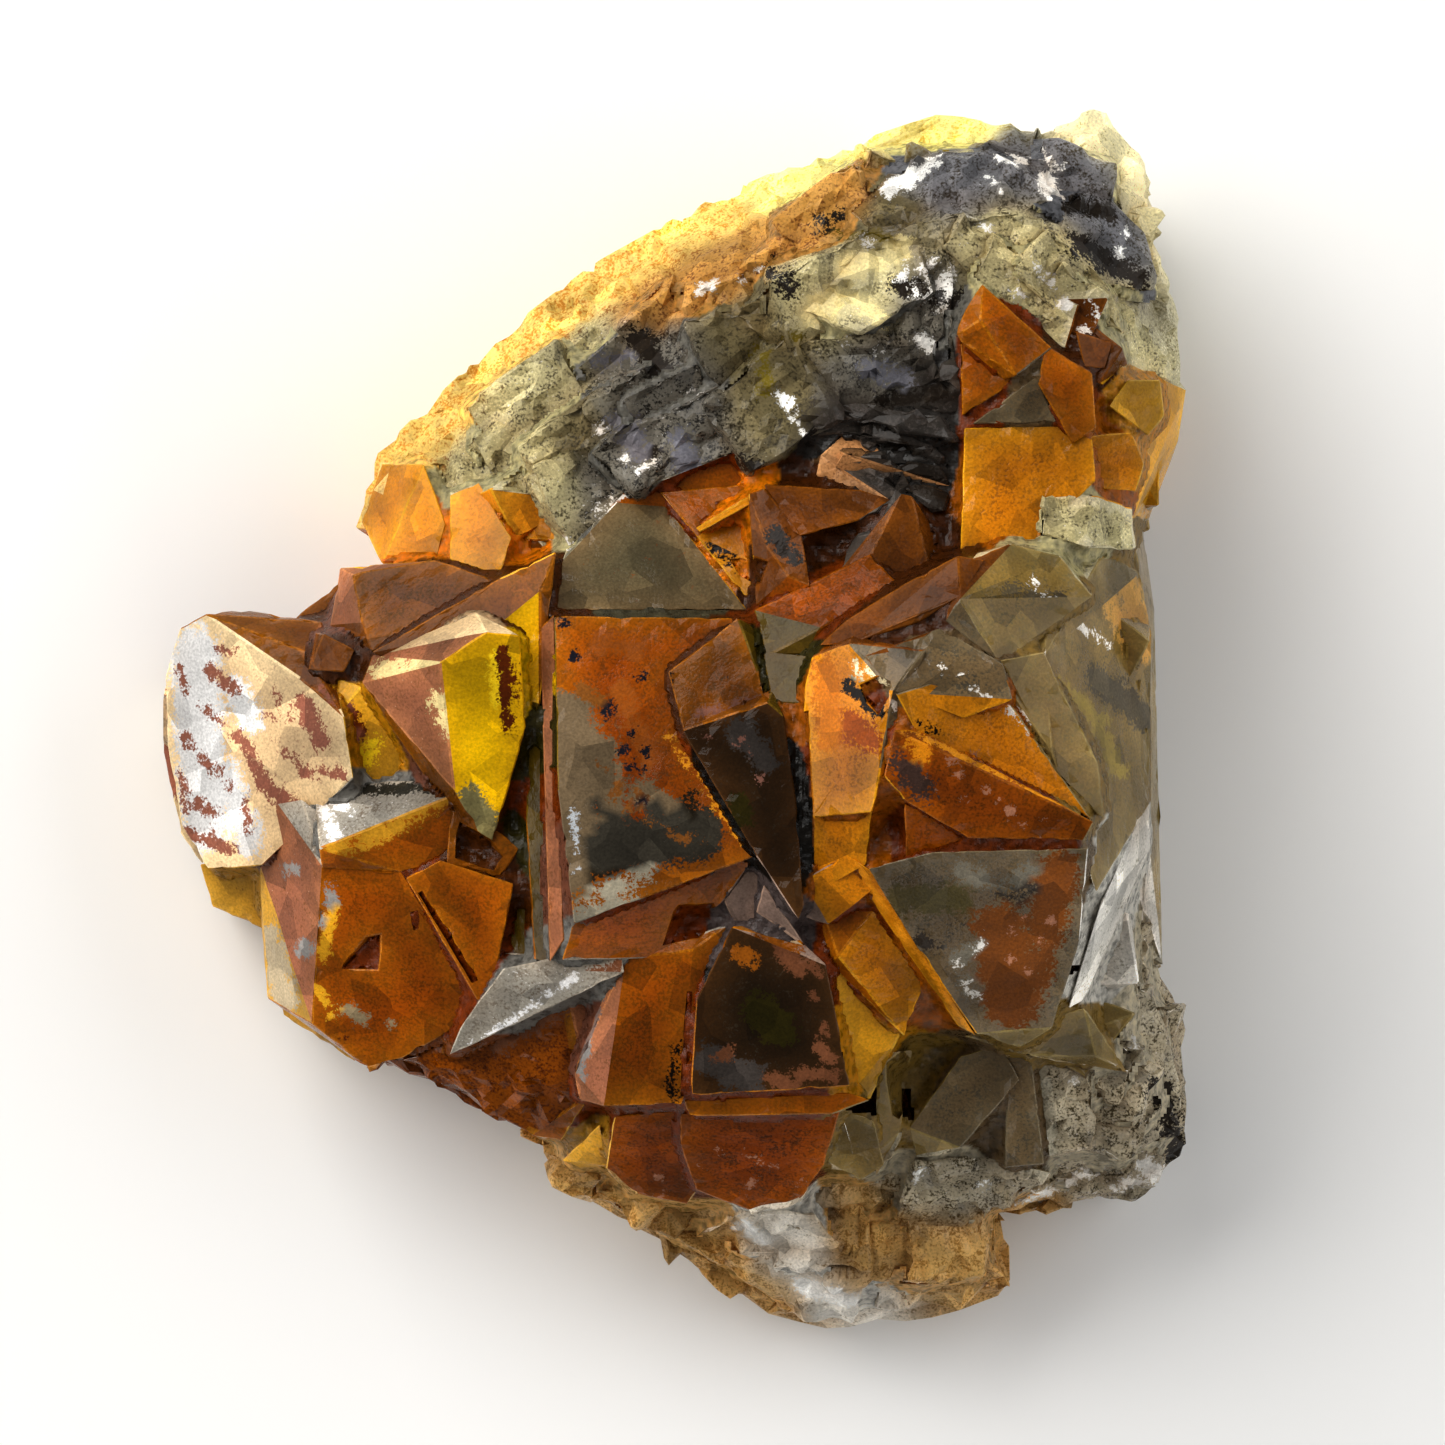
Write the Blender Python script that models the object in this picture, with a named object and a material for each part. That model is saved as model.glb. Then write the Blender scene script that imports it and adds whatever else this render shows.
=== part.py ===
"""Fluorite crystal cluster: a hand specimen lying on its flat back, crystals up.

Cubic crystals, grown through each other and coated with iron oxide, stand on a broken mass of the
same mineral. It is one solid. Lengths are in millimetres, +X is across the specimen, +Y along it
and +Z away from the surface it lies on. Heights are measured from that surface.
"""

import math
import random

import bmesh
import bpy
from mathutils import Euler, Vector

MM = 0.001

# Driving dimensions: the length along Y sets the size of everything
SPECIMEN_LENGTH = 62.6
REST_PLANE = 0.0
BELOW_REST = -6.0

# How far a crystal reaches into what it grew on, and how much it narrows on the way
ROOT_DEPTH = 7.0
ROOT_NARROWING = 0.88

# Below the crest level the specimen widens from its middle, by this share for each millimetre
CREST_LEVEL = 20.0
MIDDLE = (2.1, -0.1)
WIDENING = 0.002

# Corners nearer to each other than this are one corner: the first that leaves a closed skin
WELDS = (0.001, 0.003, 0.006, 0.01, 0.0003)

# How much the corners of a cleavage chip stray from a square block, as a share of its size,
# and the range of sizes in one row
CHIP_STRAY = 0.16
CHIP_SIZES = (0.65, 1.45)

# Broken masses: every corner of the lump, a height of 0 standing for the cut-off base
MASSES = {
    "upper_left_mass": [
        (-16.2, 9.6, 7.5), (-15.0, 13.2, 8.0), (-12.8, 15.4, 8.6), (-8.6, 19.4, 8.6),
        (-4.2, 22.7, 8.6), (1.0, 25.6, 8.6), (6.0, 27.8, 8.6), (12.8, 30.1, 8.6),
        (-13.0, 9.0, 11.5), (-8.0, 13.0, 14.0), (-2.0, 17.0, 15.6), (4.0, 20.0, 16.8),
        (8.5, 23.5, 17.6), (12.0, 26.6, 16.0), (-5.0, 9.0, 15.8), (4.0, 9.0, 16.5),
        (-10.0, 9.0, 0.0), (-8.0, 14.0, 0.0), (0.0, 20.0, 0.0), (10.0, 25.0, 0.0),
        (12.0, 6.0, 0.0), (-8.0, 4.0, 0.0),
    ],
    "upper_right_mass": [
        (12.8, 30.1, 9.0), (15.3, 29.6, 11.0), (17.8, 29.6, 11.0), (21.0, 28.0, 10.5),
        (23.0, 25.0, 10.0), (24.0, 22.8, 9.5), (24.7, 20.0, 9.0), (25.3, 16.5, 9.0),
        (24.9, 14.0, 9.0), (23.4, 10.0, 9.0), (13.0, 25.0, 18.6), (17.0, 25.5, 18.0),
        (20.5, 22.0, 17.6), (22.0, 18.0, 17.2), (14.0, 17.0, 19.0), (22.6, 10.0, 15.5),
        (14.0, 9.0, 16.0), (9.0, 24.0, 17.5), (7.5, 16.0, 17.8), (9.0, 10.0, 16.5),
        (11.0, 25.0, 0.0), (19.0, 24.0, 0.0), (21.5, 17.0, 0.0), (20.5, 8.0, 0.0),
        (8.0, 8.0, 0.0),
    ],
    "pale_knob": [
        (18.6, 29.8, 8.0), (20.6, 30.5, 9.5), (21.8, 29.9, 9.5), (23.1, 28.4, 9.0),
        (23.6, 26.4, 8.5), (24.0, 24.3, 8.0), (19.5, 28.5, 12.5), (22.0, 25.5, 12.5),
        (18.0, 27.0, 3.0), (22.0, 25.0, 2.5), (20.0, 22.0, 2.0),
    ],
    "right_flank": [
        (23.0, 10.5, 9.0), (22.9, 8.0, 10.0), (23.7, 5.5, 9.0), (23.6, 1.0, 9.0),
        (23.5, -3.5, 8.5), (23.6, -7.5, 8.0), (24.1, -12.0, 7.5), (22.9, 8.0, 14.0),
        (22.5, 2.0, 16.0), (22.0, -6.0, 15.0), (14.0, 8.0, 15.0), (13.0, -6.0, 17.0),
        (21.0, -12.0, 12.0), (22.0, 11.5, 13.5), (19.5, 9.0, 0.0), (20.5, 0.0, 0.0),
        (20.5, -10.0, 0.0), (12.0, -12.0, 0.0), (12.0, 8.0, 0.0),
    ],
    "lower_right_mass": [
        (24.1, -12.0, 7.0), (25.0, -15.5, 6.5), (25.3, -19.0, 6.5), (25.1, -21.2, 6.0),
        (23.8, -22.9, 5.0), (21.0, -23.5, 5.0), (18.7, -24.1, 5.5), (21.5, -13.0, 12.0),
        (22.8, -19.0, 10.5), (20.0, -21.8, 9.5), (16.5, -18.5, 13.0), (12.0, -16.0, 13.5),
        (12.0, -22.0, 10.5), (16.3, -24.3, 6.5), (19.5, -12.0, 0.0), (21.5, -19.0, 0.0),
        (12.0, -21.0, 0.0), (10.0, -12.0, 0.0),
    ],
    "bottom_lobe": [
        (16.1, -25.0, 4.5), (16.6, -28.0, 3.5), (16.0, -28.9, 3.2), (14.0, -29.6, 3.0),
        (11.2, -29.6, 3.0), (8.5, -30.4, 3.0), (6.0, -30.4, 3.0), (4.4, -29.4, 3.5),
        (-1.0, -25.3, 4.5), (-4.5, -24.0, 5.5), (-6.1, -22.7, 6.5), (-7.1, -21.2, 8.0),
        (13.5, -25.5, 7.5), (8.0, -27.5, 7.0), (4.0, -25.0, 9.5), (-2.0, -22.5, 9.0),
        (8.0, -23.0, 11.0), (12.0, -22.5, 10.0), (-6.0, -19.0, 0.0), (5.0, -25.5, 0.0),
        (12.0, -25.5, 0.0), (12.0, -15.0, 0.0), (-6.0, -12.0, 0.0),
    ],
    "left_mass": [
        (-9.0, -20.0, 8.5), (-12.6, -17.7, 8.5), (-17.0, -15.5, 7.0), (-20.0, -12.0, 6.0),
        (-22.5, -7.0, 4.0), (-23.0, 0.0, 5.0), (-20.0, 4.5, 7.0), (-17.0, 7.0, 8.5),
        (-12.0, 8.0, 12.0), (-13.0, -12.0, 13.0), (-6.0, -12.0, 16.0), (-6.0, 5.0, 16.0),
        (-17.0, 0.0, 12.0), (-8.0, -17.0, 0.0), (-16.0, -12.0, 0.0), (-18.5, -4.0, 0.0),
        (-16.0, 3.0, 0.0), (-9.0, 7.0, 0.0), (-2.0, -12.0, 0.0),
    ],
}

CORE = [
    (-8.0, 10.0, 14.0), (14.0, 10.0, 15.0), (18.0, -8.0, 17.0), (12.0, -18.0, 12.0),
    (-5.0, -19.0, 11.0), (-12.0, -8.0, 13.0), (4.0, -3.0, 20.0), (-8.0, 10.0, 0.0),
    (14.0, 10.0, 0.0), (18.0, -8.0, 0.0), (12.0, -18.0, 0.0), (-5.0, -17.0, 0.0),
    (-12.0, -8.0, 0.0),
]

# Crystals: the corners of the main flat face, then the corners of the other faces that show
LEFT_CRYSTALS = {
    "left_blade": (
        [(-23.7, 5.3, 10.2), (-19.0, 2.1, 14.0), (-16.8, 0.2, 16.0), (-16.3, -2.9, 16.0),
         (-20.9, -7.3, 12.0), (-23.6, -7.5, 9.4), (-24.9, -5.2, 8.0), (-25.6, -1.2, 7.6),
         (-25.7, 2.2, 8.0), (-25.0, 4.6, 8.8)],
        [(-22.0, 5.5, 9.0), (-17.9, 4.9, 11.5), (-18.7, 3.4, 13.4)],
    ),
    "blade_step": (
        [(-25.1, 3.8, 7.2), (-25.8, 1.6, 6.4), (-25.8, -1.6, 6.4), (-25.0, -5.6, 6.8),
         (-23.9, -7.2, 7.6), (-22.0, -4.0, 9.2), (-22.0, 3.0, 9.2)],
        [],
    ),
    "ochre_heel": (
        [(-24.0, -7.2, 6.6), (-20.8, -7.0, 8.9), (-20.7, -10.5, 7.6), (-23.4, -9.3, 5.6)],
        [],
    ),
    "lower_left_cube": (
        [(-17.9, -7.3, 15.8), (-14.0, -7.4, 16.6), (-9.7, -14.6, 15.6), (-13.9, -16.9, 13.0),
         (-15.6, -17.4, 12.2), (-18.4, -15.2, 12.6)],
        [(-20.9, -10.4, 9.0), (-20.6, -13.9, 8.6), (-21.0, -7.4, 10.6), (-20.1, -4.2, 12.8),
         (-18.9, -4.0, 14.2)],
    ),
    "left_cube_skirt": (
        [(-20.7, -10.6, 8.0), (-19.8, -14.8, 7.4), (-16.2, -17.1, 9.0), (-17.6, -13.4, 11.0)],
        [(-19.6, -11.6, 9.8)],
    ),
    "silver_ledge_cube": (
        [(-18.0, -6.4, 15.9), (-16.7, -5.0, 17.0), (-14.0, -4.4, 17.5), (-11.2, -3.7, 18.0),
         (-12.9, -2.9, 15.4), (-18.3, -3.4, 13.6)],
        [(-17.9, -7.4, 15.8), (-14.0, -7.6, 16.8), (-11.7, -7.1, 17.0)],
    ),
    "inner_amber_cube": (
        [(-13.7, -7.9, 17.2), (-12.0, -7.0, 17.8), (-8.3, -8.2, 18.7), (-10.0, -11.8, 17.8),
         (-9.5, -14.2, 17.0), (-9.9, -14.4, 16.8)],
        [],
    ),
    "tip_wedge": (
        [(-11.7, -7.2, 17.5), (-11.4, -3.8, 17.9), (-8.0, -6.4, 18.2), (-9.0, -7.9, 18.0)],
        [(-10.6, -7.3, 17.9)],
    ),
    "lemon_cube": (
        [(-12.0, 2.9, 20.4), (-11.3, -3.5, 19.2), (-9.5, -6.5, 18.0), (-7.7, -0.4, 19.8),
         (-8.0, 4.2, 20.8), (-9.7, 4.4, 20.8)],
        [(-10.7, -5.9, 17.2), (-15.9, 1.9, 17.0), (-15.4, 3.2, 16.6), (-10.2, 5.4, 18.8)],
    ),
    "amber_valley": (
        [(-16.9, 0.5, 15.0), (-15.9, 1.7, 15.4), (-11.4, -3.5, 16.0), (-16.7, -3.1, 14.2)],
        [(-18.7, 2.6, 13.6)],
    ),
    "brown_cap": (
        [(-18.6, 2.5, 14.6), (-17.8, 4.3, 15.0), (-16.2, 3.5, 16.0), (-16.8, 2.4, 15.6)],
        [(-18.2, 4.4, 13.4)],
    ),
    "back_box": (
        [(-16.4, 7.3, 13.6), (-15.9, 4.9, 15.2), (-15.4, 3.4, 16.2), (-9.0, 6.9, 17.2),
         (-12.2, 8.0, 15.0)],
        [(-17.0, 7.6, 12.0), (-17.5, 4.7, 12.2)],
    ),
    "brown_plate": (
        [(-15.4, 3.4, 17.0), (-9.0, 7.1, 18.4), (-6.2, 8.4, 19.0), (-7.0, 6.4, 19.4),
         (-9.4, 4.5, 18.8)],
        [(-7.0, 0.8, 19.4), (-7.4, -0.4, 18.8)],
    ),
    "orange_lump_left": (
        [(-14.9, 7.8, 11.6), (-12.2, 7.9, 13.2), (-11.7, 9.8, 13.2), (-12.8, 12.8, 12.0)],
        [(-15.9, 9.9, 8.6), (-14.9, 11.4, 9.4), (-14.9, 12.8, 8.6)],
    ),
    "orange_lump_right": (
        [(-11.5, 11.3, 13.2), (-10.1, 11.9, 13.6), (-8.4, 9.1, 15.4), (-9.0, 7.2, 16.0),
         (-11.5, 8.0, 14.6)],
        [],
    ),
}

CENTRE_CRYSTALS = {
    "smoky_cube": (
        [(-6.3, 5.2, 20.0), (2.6, 5.1, 20.7), (3.8, -6.8, 22.7), (-3.0, -8.1, 22.8),
         (-5.3, -10.2, 22.8), (-6.1, -3.5, 21.4)],
        [],
    ),
    "cube_underside": (
        [(-5.4, -10.3, 22.0), (-2.8, -8.2, 22.4), (3.8, -6.8, 22.3), (2.2, -9.0, 21.4),
         (-0.6, -9.1, 21.4), (-1.3, -11.9, 20.2), (-5.9, -12.0, 20.4)],
        [],
    ),
    "growth_step_outer": (
        [(-8.0, -3.4, 17.2), (-7.4, -3.0, 17.5), (-7.0, -11.9, 17.8), (-8.4, -11.6, 17.2),
         (-8.7, -8.0, 17.1)],
        [],
    ),
    "growth_step_middle": (
        [(-7.5, 0.4, 18.4), (-6.8, 3.0, 18.8), (-6.5, -12.0, 19.2), (-7.3, -12.0, 18.6),
         (-7.7, -5.0, 18.4)],
        [],
    ),
    "growth_step_inner": (
        [(-7.0, 4.6, 19.2), (-6.3, 5.3, 19.6), (-5.8, -11.0, 20.6), (-6.5, -12.1, 20.0),
         (-6.7, -2.0, 19.9)],
        [],
    ),
    "brown_corner": (
        [(-0.6, 2.4, 22.0), (2.9, 5.1, 21.6), (3.9, 2.4, 22.4), (4.2, 1.0, 22.8),
         (0.2, -0.6, 22.7)],
        [(4.0, 4.4, 20.6)],
    ),
    "black_block": (
        [(0.1, -0.5, 23.0), (4.4, 0.9, 23.6), (5.2, 0.2, 23.8), (5.8, -4.0, 24.2),
         (6.2, -9.3, 24.4), (5.9, -10.0, 24.3), (3.8, -6.8, 23.8)],
        [(4.6, 1.6, 22.4)],
    ),
    "violet_flake": (
        [(4.2, -8.2, 22.6), (6.2, -11.2, 22.0), (3.8, -9.6, 21.8)],
        [],
    ),
    "amber_link": (
        [(3.8, -6.9, 22.0), (4.6, -8.6, 21.8), (5.8, -11.2, 21.2), (2.6, -10.0, 21.0),
         (2.2, -9.0, 21.2)],
        [],
    ),
    "centre_amber_cube": (
        [(-2.7, -11.9, 20.0), (0.6, -11.5, 20.6), (0.1, -19.2, 19.4), (-3.8, -19.3, 18.6)],
        [(2.4, -10.2, 20.8), (-5.3, -17.6, 17.4), (-4.1, -14.4, 18.4), (-5.0, -19.0, 17.2)],
    ),
    "black_cube": (
        [(2.6, -10.3, 21.6), (7.3, -12.2, 22.4), (8.5, -18.3, 21.4), (0.5, -18.8, 20.3),
         (0.8, -14.0, 20.9)],
        [(6.2, -11.2, 22.0)],
    ),
    "lower_ledge": (
        [(0.2, -19.0, 18.9), (8.5, -18.6, 20.2), (9.5, -19.0, 20.1), (7.6, -19.7, 19.6),
         (0.4, -19.8, 18.6)],
        [],
    ),
    "lower_brown_cube": (
        [(0.0, -19.7, 17.9), (8.0, -19.5, 18.6), (7.2, -22.2, 16.0), (6.0, -24.0, 14.2),
         (3.5, -24.5, 13.4), (0.8, -23.5, 14.0), (0.0, -21.2, 16.3)],
        [],
    ),
    "lower_brown_cube_left": (
        [(-3.3, -19.8, 16.4), (0.0, -19.5, 16.8), (0.9, -23.4, 13.0), (0.4, -24.2, 12.2),
         (-2.2, -23.7, 12.4), (-3.7, -22.4, 13.6)],
        [],
    ),
    "lower_ochre_wedge": (
        [(-5.9, -22.0, 11.0), (-4.0, -20.2, 14.0), (-3.5, -22.3, 12.4)],
        [(-5.0, -22.4, 10.4)],
    ),
    "lower_orange_corner": (
        [(8.0, -19.4, 17.6), (9.7, -20.0, 17.0), (10.2, -22.2, 14.8), (9.0, -23.0, 14.0),
         (7.2, -22.0, 15.2)],
        [],
    ),
    "amber_sweep": (
        [(-13.8, -16.9, 12.6), (-11.4, -15.9, 14.2), (-5.6, -13.6, 17.2), (-5.8, -17.6, 15.2),
         (-7.4, -20.8, 12.0)],
        [(-3.6, -13.2, 17.6), (-4.5, -18.8, 15.4), (-5.9, -21.0, 12.4), (-12.4, -17.8, 10.8)],
    ),
    "silver_plate": (
        [(-11.6, -16.8, 15.6), (-10.8, -15.0, 16.8), (-8.8, -12.4, 18.6), (-6.0, -12.6, 19.0)],
        [(-4.6, -11.5, 19.8), (-3.0, -11.5, 20.3), (-2.8, -12.6, 20.2), (-5.0, -13.3, 18.6)],
    ),
    "amber_bridge": (
        [(-9.8, -14.6, 15.4), (-9.2, -11.6, 17.2), (-6.0, -11.8, 18.0), (-5.4, -13.0, 17.5),
         (-11.0, -15.6, 14.6)],
        [],
    ),
}

RIGHT_CRYSTALS = {
    "boss_left_face": (
        [(6.2, 1.5, 24.8), (6.6, 3.2, 25.0), (8.4, 3.9, 26.4), (10.6, 1.4, 28.0),
         (10.0, -2.4, 27.8), (9.6, -4.6, 27.2), (6.7, -4.9, 25.0), (6.2, -1.0, 24.8)],
        [(12.2, 3.5, 27.6), (8.6, 4.2, 25.6)],
    ),
    "boss_lower_left": (
        [(6.7, -4.8, 24.4), (9.6, -4.5, 26.0), (9.3, -7.2, 25.0), (8.2, -6.7, 24.8)],
        [(6.6, -8.7, 22.8)],
    ),
    "boss_crown": (
        [(6.9, 3.7, 24.4), (8.3, 5.0, 24.6), (11.2, 6.8, 25.2), (13.9, 8.2, 25.6),
         (14.0, 6.2, 26.6), (12.0, 4.9, 26.6)],
        [(8.8, 3.9, 26.0), (15.2, 8.0, 25.0)],
    ),
    "boss_lens": (
        [(14.2, 7.9, 25.2), (16.5, 8.8, 23.6), (19.0, 8.2, 22.8), (20.6, 6.2, 22.8),
         (17.8, 4.2, 25.4)],
        [(16.0, 2.8, 26.8), (13.2, 5.0, 27.2), (14.0, 6.0, 27.0)],
    ),
    "boss_grey_window": (
        [(9.2, 3.2, 27.0), (12.4, 3.7, 27.4), (16.2, 2.8, 27.4), (16.6, 1.0, 27.4),
         (14.2, 0.1, 27.8)],
        [(10.8, 1.4, 28.0), (13.0, 4.6, 26.8)],
    ),
    "boss_upper_amber": (
        [(10.8, 1.3, 28.1), (12.4, 1.8, 27.8), (16.4, 1.0, 27.0), (18.6, -2.4, 26.0),
         (20.6, -5.0, 25.2), (11.8, -0.6, 28.2)],
        [],
    ),
    "boss_spike": (
        [(10.7, -0.5, 28.6), (20.7, -5.1, 26.2), (20.2, -6.0, 25.8), (14.4, -5.9, 26.4),
         (11.2, -4.0, 27.4), (10.2, -2.8, 27.9)],
        [(12.0, -0.5, 28.0)],
    ),
    "boss_olive_foot": (
        [(10.2, -2.8, 27.6), (11.2, -4.1, 27.0), (11.1, -6.3, 25.8), (9.4, -7.4, 25.2)],
        [(9.7, -4.6, 26.4)],
    ),
    "boss_brown_foot": (
        [(11.2, -4.1, 26.8), (14.5, -5.9, 25.8), (11.3, -6.9, 25.4)],
        [],
    ),
    "great_face": (
        [(9.4, -7.4, 25.6), (12.6, -6.6, 26.2), (18.2, -6.6, 26.0), (20.4, -6.4, 25.8),
         (20.0, -11.0, 23.2), (18.6, -15.4, 20.6), (14.8, -15.7, 20.4), (12.0, -11.6, 23.0)],
        [(17.0, -16.4, 19.4)],
    ),
    "great_face_rim": (
        [(8.6, -6.9, 24.9), (9.5, -7.5, 25.2), (14.8, -15.8, 20.3), (13.9, -15.3, 19.8),
         (9.7, -9.2, 23.4)],
        [],
    ),
    "right_olive_flank": (
        [(23.6, 4.4, 15.2), (23.4, -4.2, 15.2), (20.8, -8.6, 22.5), (20.7, -5.0, 24.4),
         (18.6, -1.6, 26.0), (18.2, 3.2, 25.0)],
        [(18.6, 7.6, 21.0), (21.2, 8.4, 18.0), (23.0, 7.4, 15.0), (16.4, 1.6, 26.8)],
    ),
    "olive_fold": (
        [(16.0, 3.0, 27.0), (18.2, 3.4, 26.2), (20.9, -2.2, 24.6), (21.2, -5.0, 23.8),
         (19.0, -2.8, 26.0)],
        [],
    ),
    "white_blade": (
        [(23.4, -3.8, 15.6), (23.5, -6.4, 14.8), (20.2, -14.0, 17.2), (19.4, -14.4, 18.4),
         (20.5, -10.6, 19.8), (21.5, -7.5, 19.2)],
        [(20.9, -9.6, 21.4)],
    ),
    "diamond_cube": (
        [(9.7, -9.4, 22.4), (12.2, -13.2, 20.6), (11.2, -15.8, 19.4), (7.9, -11.8, 22.2)],
        [(6.8, -8.5, 22.3), (8.5, -7.9, 22.2), (7.4, -12.1, 21.4)],
    ),
    "peak_cube": (
        [(6.1, -8.0, 23.3), (8.4, -6.7, 24.6), (9.7, -8.4, 24.0), (7.4, -10.2, 22.8)],
        [(8.6, -9.3, 23.4), (6.2, -9.9, 22.2)],
    ),
    "yellow_flake": (
        [(7.9, -11.8, 21.6), (11.0, -15.7, 18.6), (9.9, -16.5, 18.6), (8.6, -18.6, 18.6),
         (7.8, -13.4, 20.8)],
        [(9.5, -19.0, 17.4)],
    ),
}

UPPER_CRYSTALS = {
    "smoky_shelf": (
        [(-1.3, 11.5, 15.8), (3.4, 5.5, 18.9), (-6.2, 5.5, 18.6), (-5.9, 8.0, 17.4),
         (-3.2, 10.9, 16.0)],
        [],
    ),
    "amber_hollow": (
        [(-1.0, 11.4, 16.4), (3.4, 11.8, 16.8), (3.6, 10.9, 17.2), (0.8, 9.2, 17.6)],
        [(3.2, 6.2, 18.4), (5.6, 7.0, 18.6)],
    ),
    "star_ridge": (
        [(3.4, 11.3, 19.2), (4.2, 11.6, 19.2), (6.1, 9.2, 20.2), (6.5, 6.7, 21.0),
         (5.4, 7.2, 20.7)],
        [(3.8, 5.7, 19.6), (4.4, 8.6, 20.2)],
    ),
    "star_arm": (
        [(1.0, 9.4, 18.4), (3.9, 11.0, 19.1), (3.7, 11.4, 18.5), (0.8, 9.6, 18.0)],
        [],
    ),
    "pink_brown_block": (
        [(4.2, 11.8, 18.9), (9.0, 11.5, 19.4), (10.6, 11.0, 19.8), (9.0, 10.0, 20.2),
         (6.0, 9.2, 20.4)],
        [(4.8, 10.0, 19.4)],
    ),
    "tan_shield": (
        [(7.0, 13.2, 18.2), (8.4, 14.5, 17.6), (9.8, 13.8, 18.0), (11.2, 11.6, 19.2),
         (10.4, 11.0, 19.5)],
        [(6.8, 12.2, 18.2)],
    ),
    "arch_cube": (
        [(9.6, 8.4, 20.8), (11.0, 11.3, 20.0), (11.6, 11.2, 20.0), (12.6, 7.0, 21.0),
         (10.6, 6.9, 21.2)],
        [(7.6, 6.6, 20.8), (8.2, 7.8, 20.4), (13.4, 8.4, 18.6)],
    ),
    "brown_terrace": (
        [(3.7, 5.5, 20.4), (9.5, 8.3, 21.2), (10.8, 6.9, 22.0), (8.5, 5.2, 22.2),
         (6.4, 3.3, 22.4), (4.3, 3.2, 21.8)],
        [(7.0, 4.6, 22.6)],
    ),
    "olive_slope": (
        [(4.1, 3.4, 21.6), (6.4, 3.2, 22.8), (6.1, 0.8, 23.6), (4.6, 0.9, 22.9)],
        [],
    ),
    "grey_wedge": (
        [(6.0, 19.0, 18.0), (10.0, 19.2, 18.4), (13.9, 17.0, 18.8), (14.0, 15.4, 18.6),
         (6.0, 15.4, 17.8)],
        [(6.0, 14.8, 16.8)],
    ),
    "plate_amber": (
        [(14.2, 14.6, 19.4), (18.8, 14.8, 19.8), (20.6, 14.0, 19.9), (20.8, 12.0, 20.2),
         (18.4, 12.2, 20.2), (17.8, 9.0, 20.8), (14.0, 7.8, 20.6)],
        [],
    ),
    "plate_amber_right": (
        [(20.5, 14.2, 19.6), (22.6, 14.4, 17.8), (23.2, 12.8, 17.0), (22.8, 11.4, 17.0),
         (20.5, 11.6, 19.0)],
        [],
    ),
    "grey_step": (
        [(14.6, 14.8, 19.6), (17.8, 17.2, 20.4), (18.8, 14.9, 20.2)],
        [],
    ),
    "apex_amber": (
        [(15.1, 21.8, 20.2), (16.8, 17.2, 21.0), (18.6, 18.6, 20.4)],
        [(13.7, 19.2, 20.2), (15.0, 20.0, 21.0), (14.4, 20.8, 20.2), (16.2, 17.0, 20.4)],
    ),
    "apex_amber_foot": (
        [(14.0, 18.9, 19.6), (16.6, 17.0, 20.2), (16.0, 16.4, 20.2), (14.1, 15.2, 19.6)],
        [],
    ),
    "small_amber_shard": (
        [(18.2, 18.8, 20.4), (20.6, 17.4, 20.0), (20.8, 14.6, 20.0), (19.6, 13.8, 20.2),
         (17.9, 16.8, 20.6)],
        [],
    ),
    "rust_chip": (
        [(19.8, 19.4, 19.6), (21.6, 18.9, 18.8), (21.2, 17.6, 19.2), (20.2, 17.6, 19.6)],
        [],
    ),
    "yellow_hexagon": (
        [(21.4, 15.7, 18.4), (22.4, 17.0, 17.8), (24.0, 17.0, 16.2), (24.2, 15.2, 15.8),
         (23.4, 14.2, 16.4)],
        [],
    ),
    "glass_knot": (
        [(18.2, 11.1, 20.8), (20.6, 11.3, 20.2), (20.4, 8.6, 20.8), (18.0, 9.2, 21.4)],
        [(22.6, 10.6, 17.2), (22.8, 8.6, 16.4)],
    ),
    "crest_block": (
        [(8.4, 25.4, 16.6), (10.0, 27.0, 15.6), (13.2, 28.6, 14.8), (16.4, 27.6, 16.0),
         (15.0, 24.6, 18.6), (10.0, 24.0, 17.8)],
        [(18.6, 26.0, 17.0), (15.6, 28.4, 15.0)],
    ),
    "dark_shoulder": (
        [(19.0, 26.0, 16.4), (23.0, 24.2, 13.2), (23.8, 21.4, 13.4), (19.4, 22.0, 17.6)],
        [(21.0, 26.2, 13.6)],
    ),
    "glass_rise": (
        [(18.4, 24.4, 18.2), (21.4, 21.6, 17.2), (22.2, 19.4, 16.8), (19.0, 20.2, 19.2),
         (16.6, 22.6, 19.6)],
        [],
    ),
    "white_glint_block": (
        [(5.6, 20.6, 18.2), (8.6, 24.4, 17.2), (11.4, 24.8, 18.0), (12.6, 21.4, 19.4),
         (9.0, 19.4, 19.2)],
        [],
    ),
}

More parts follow.
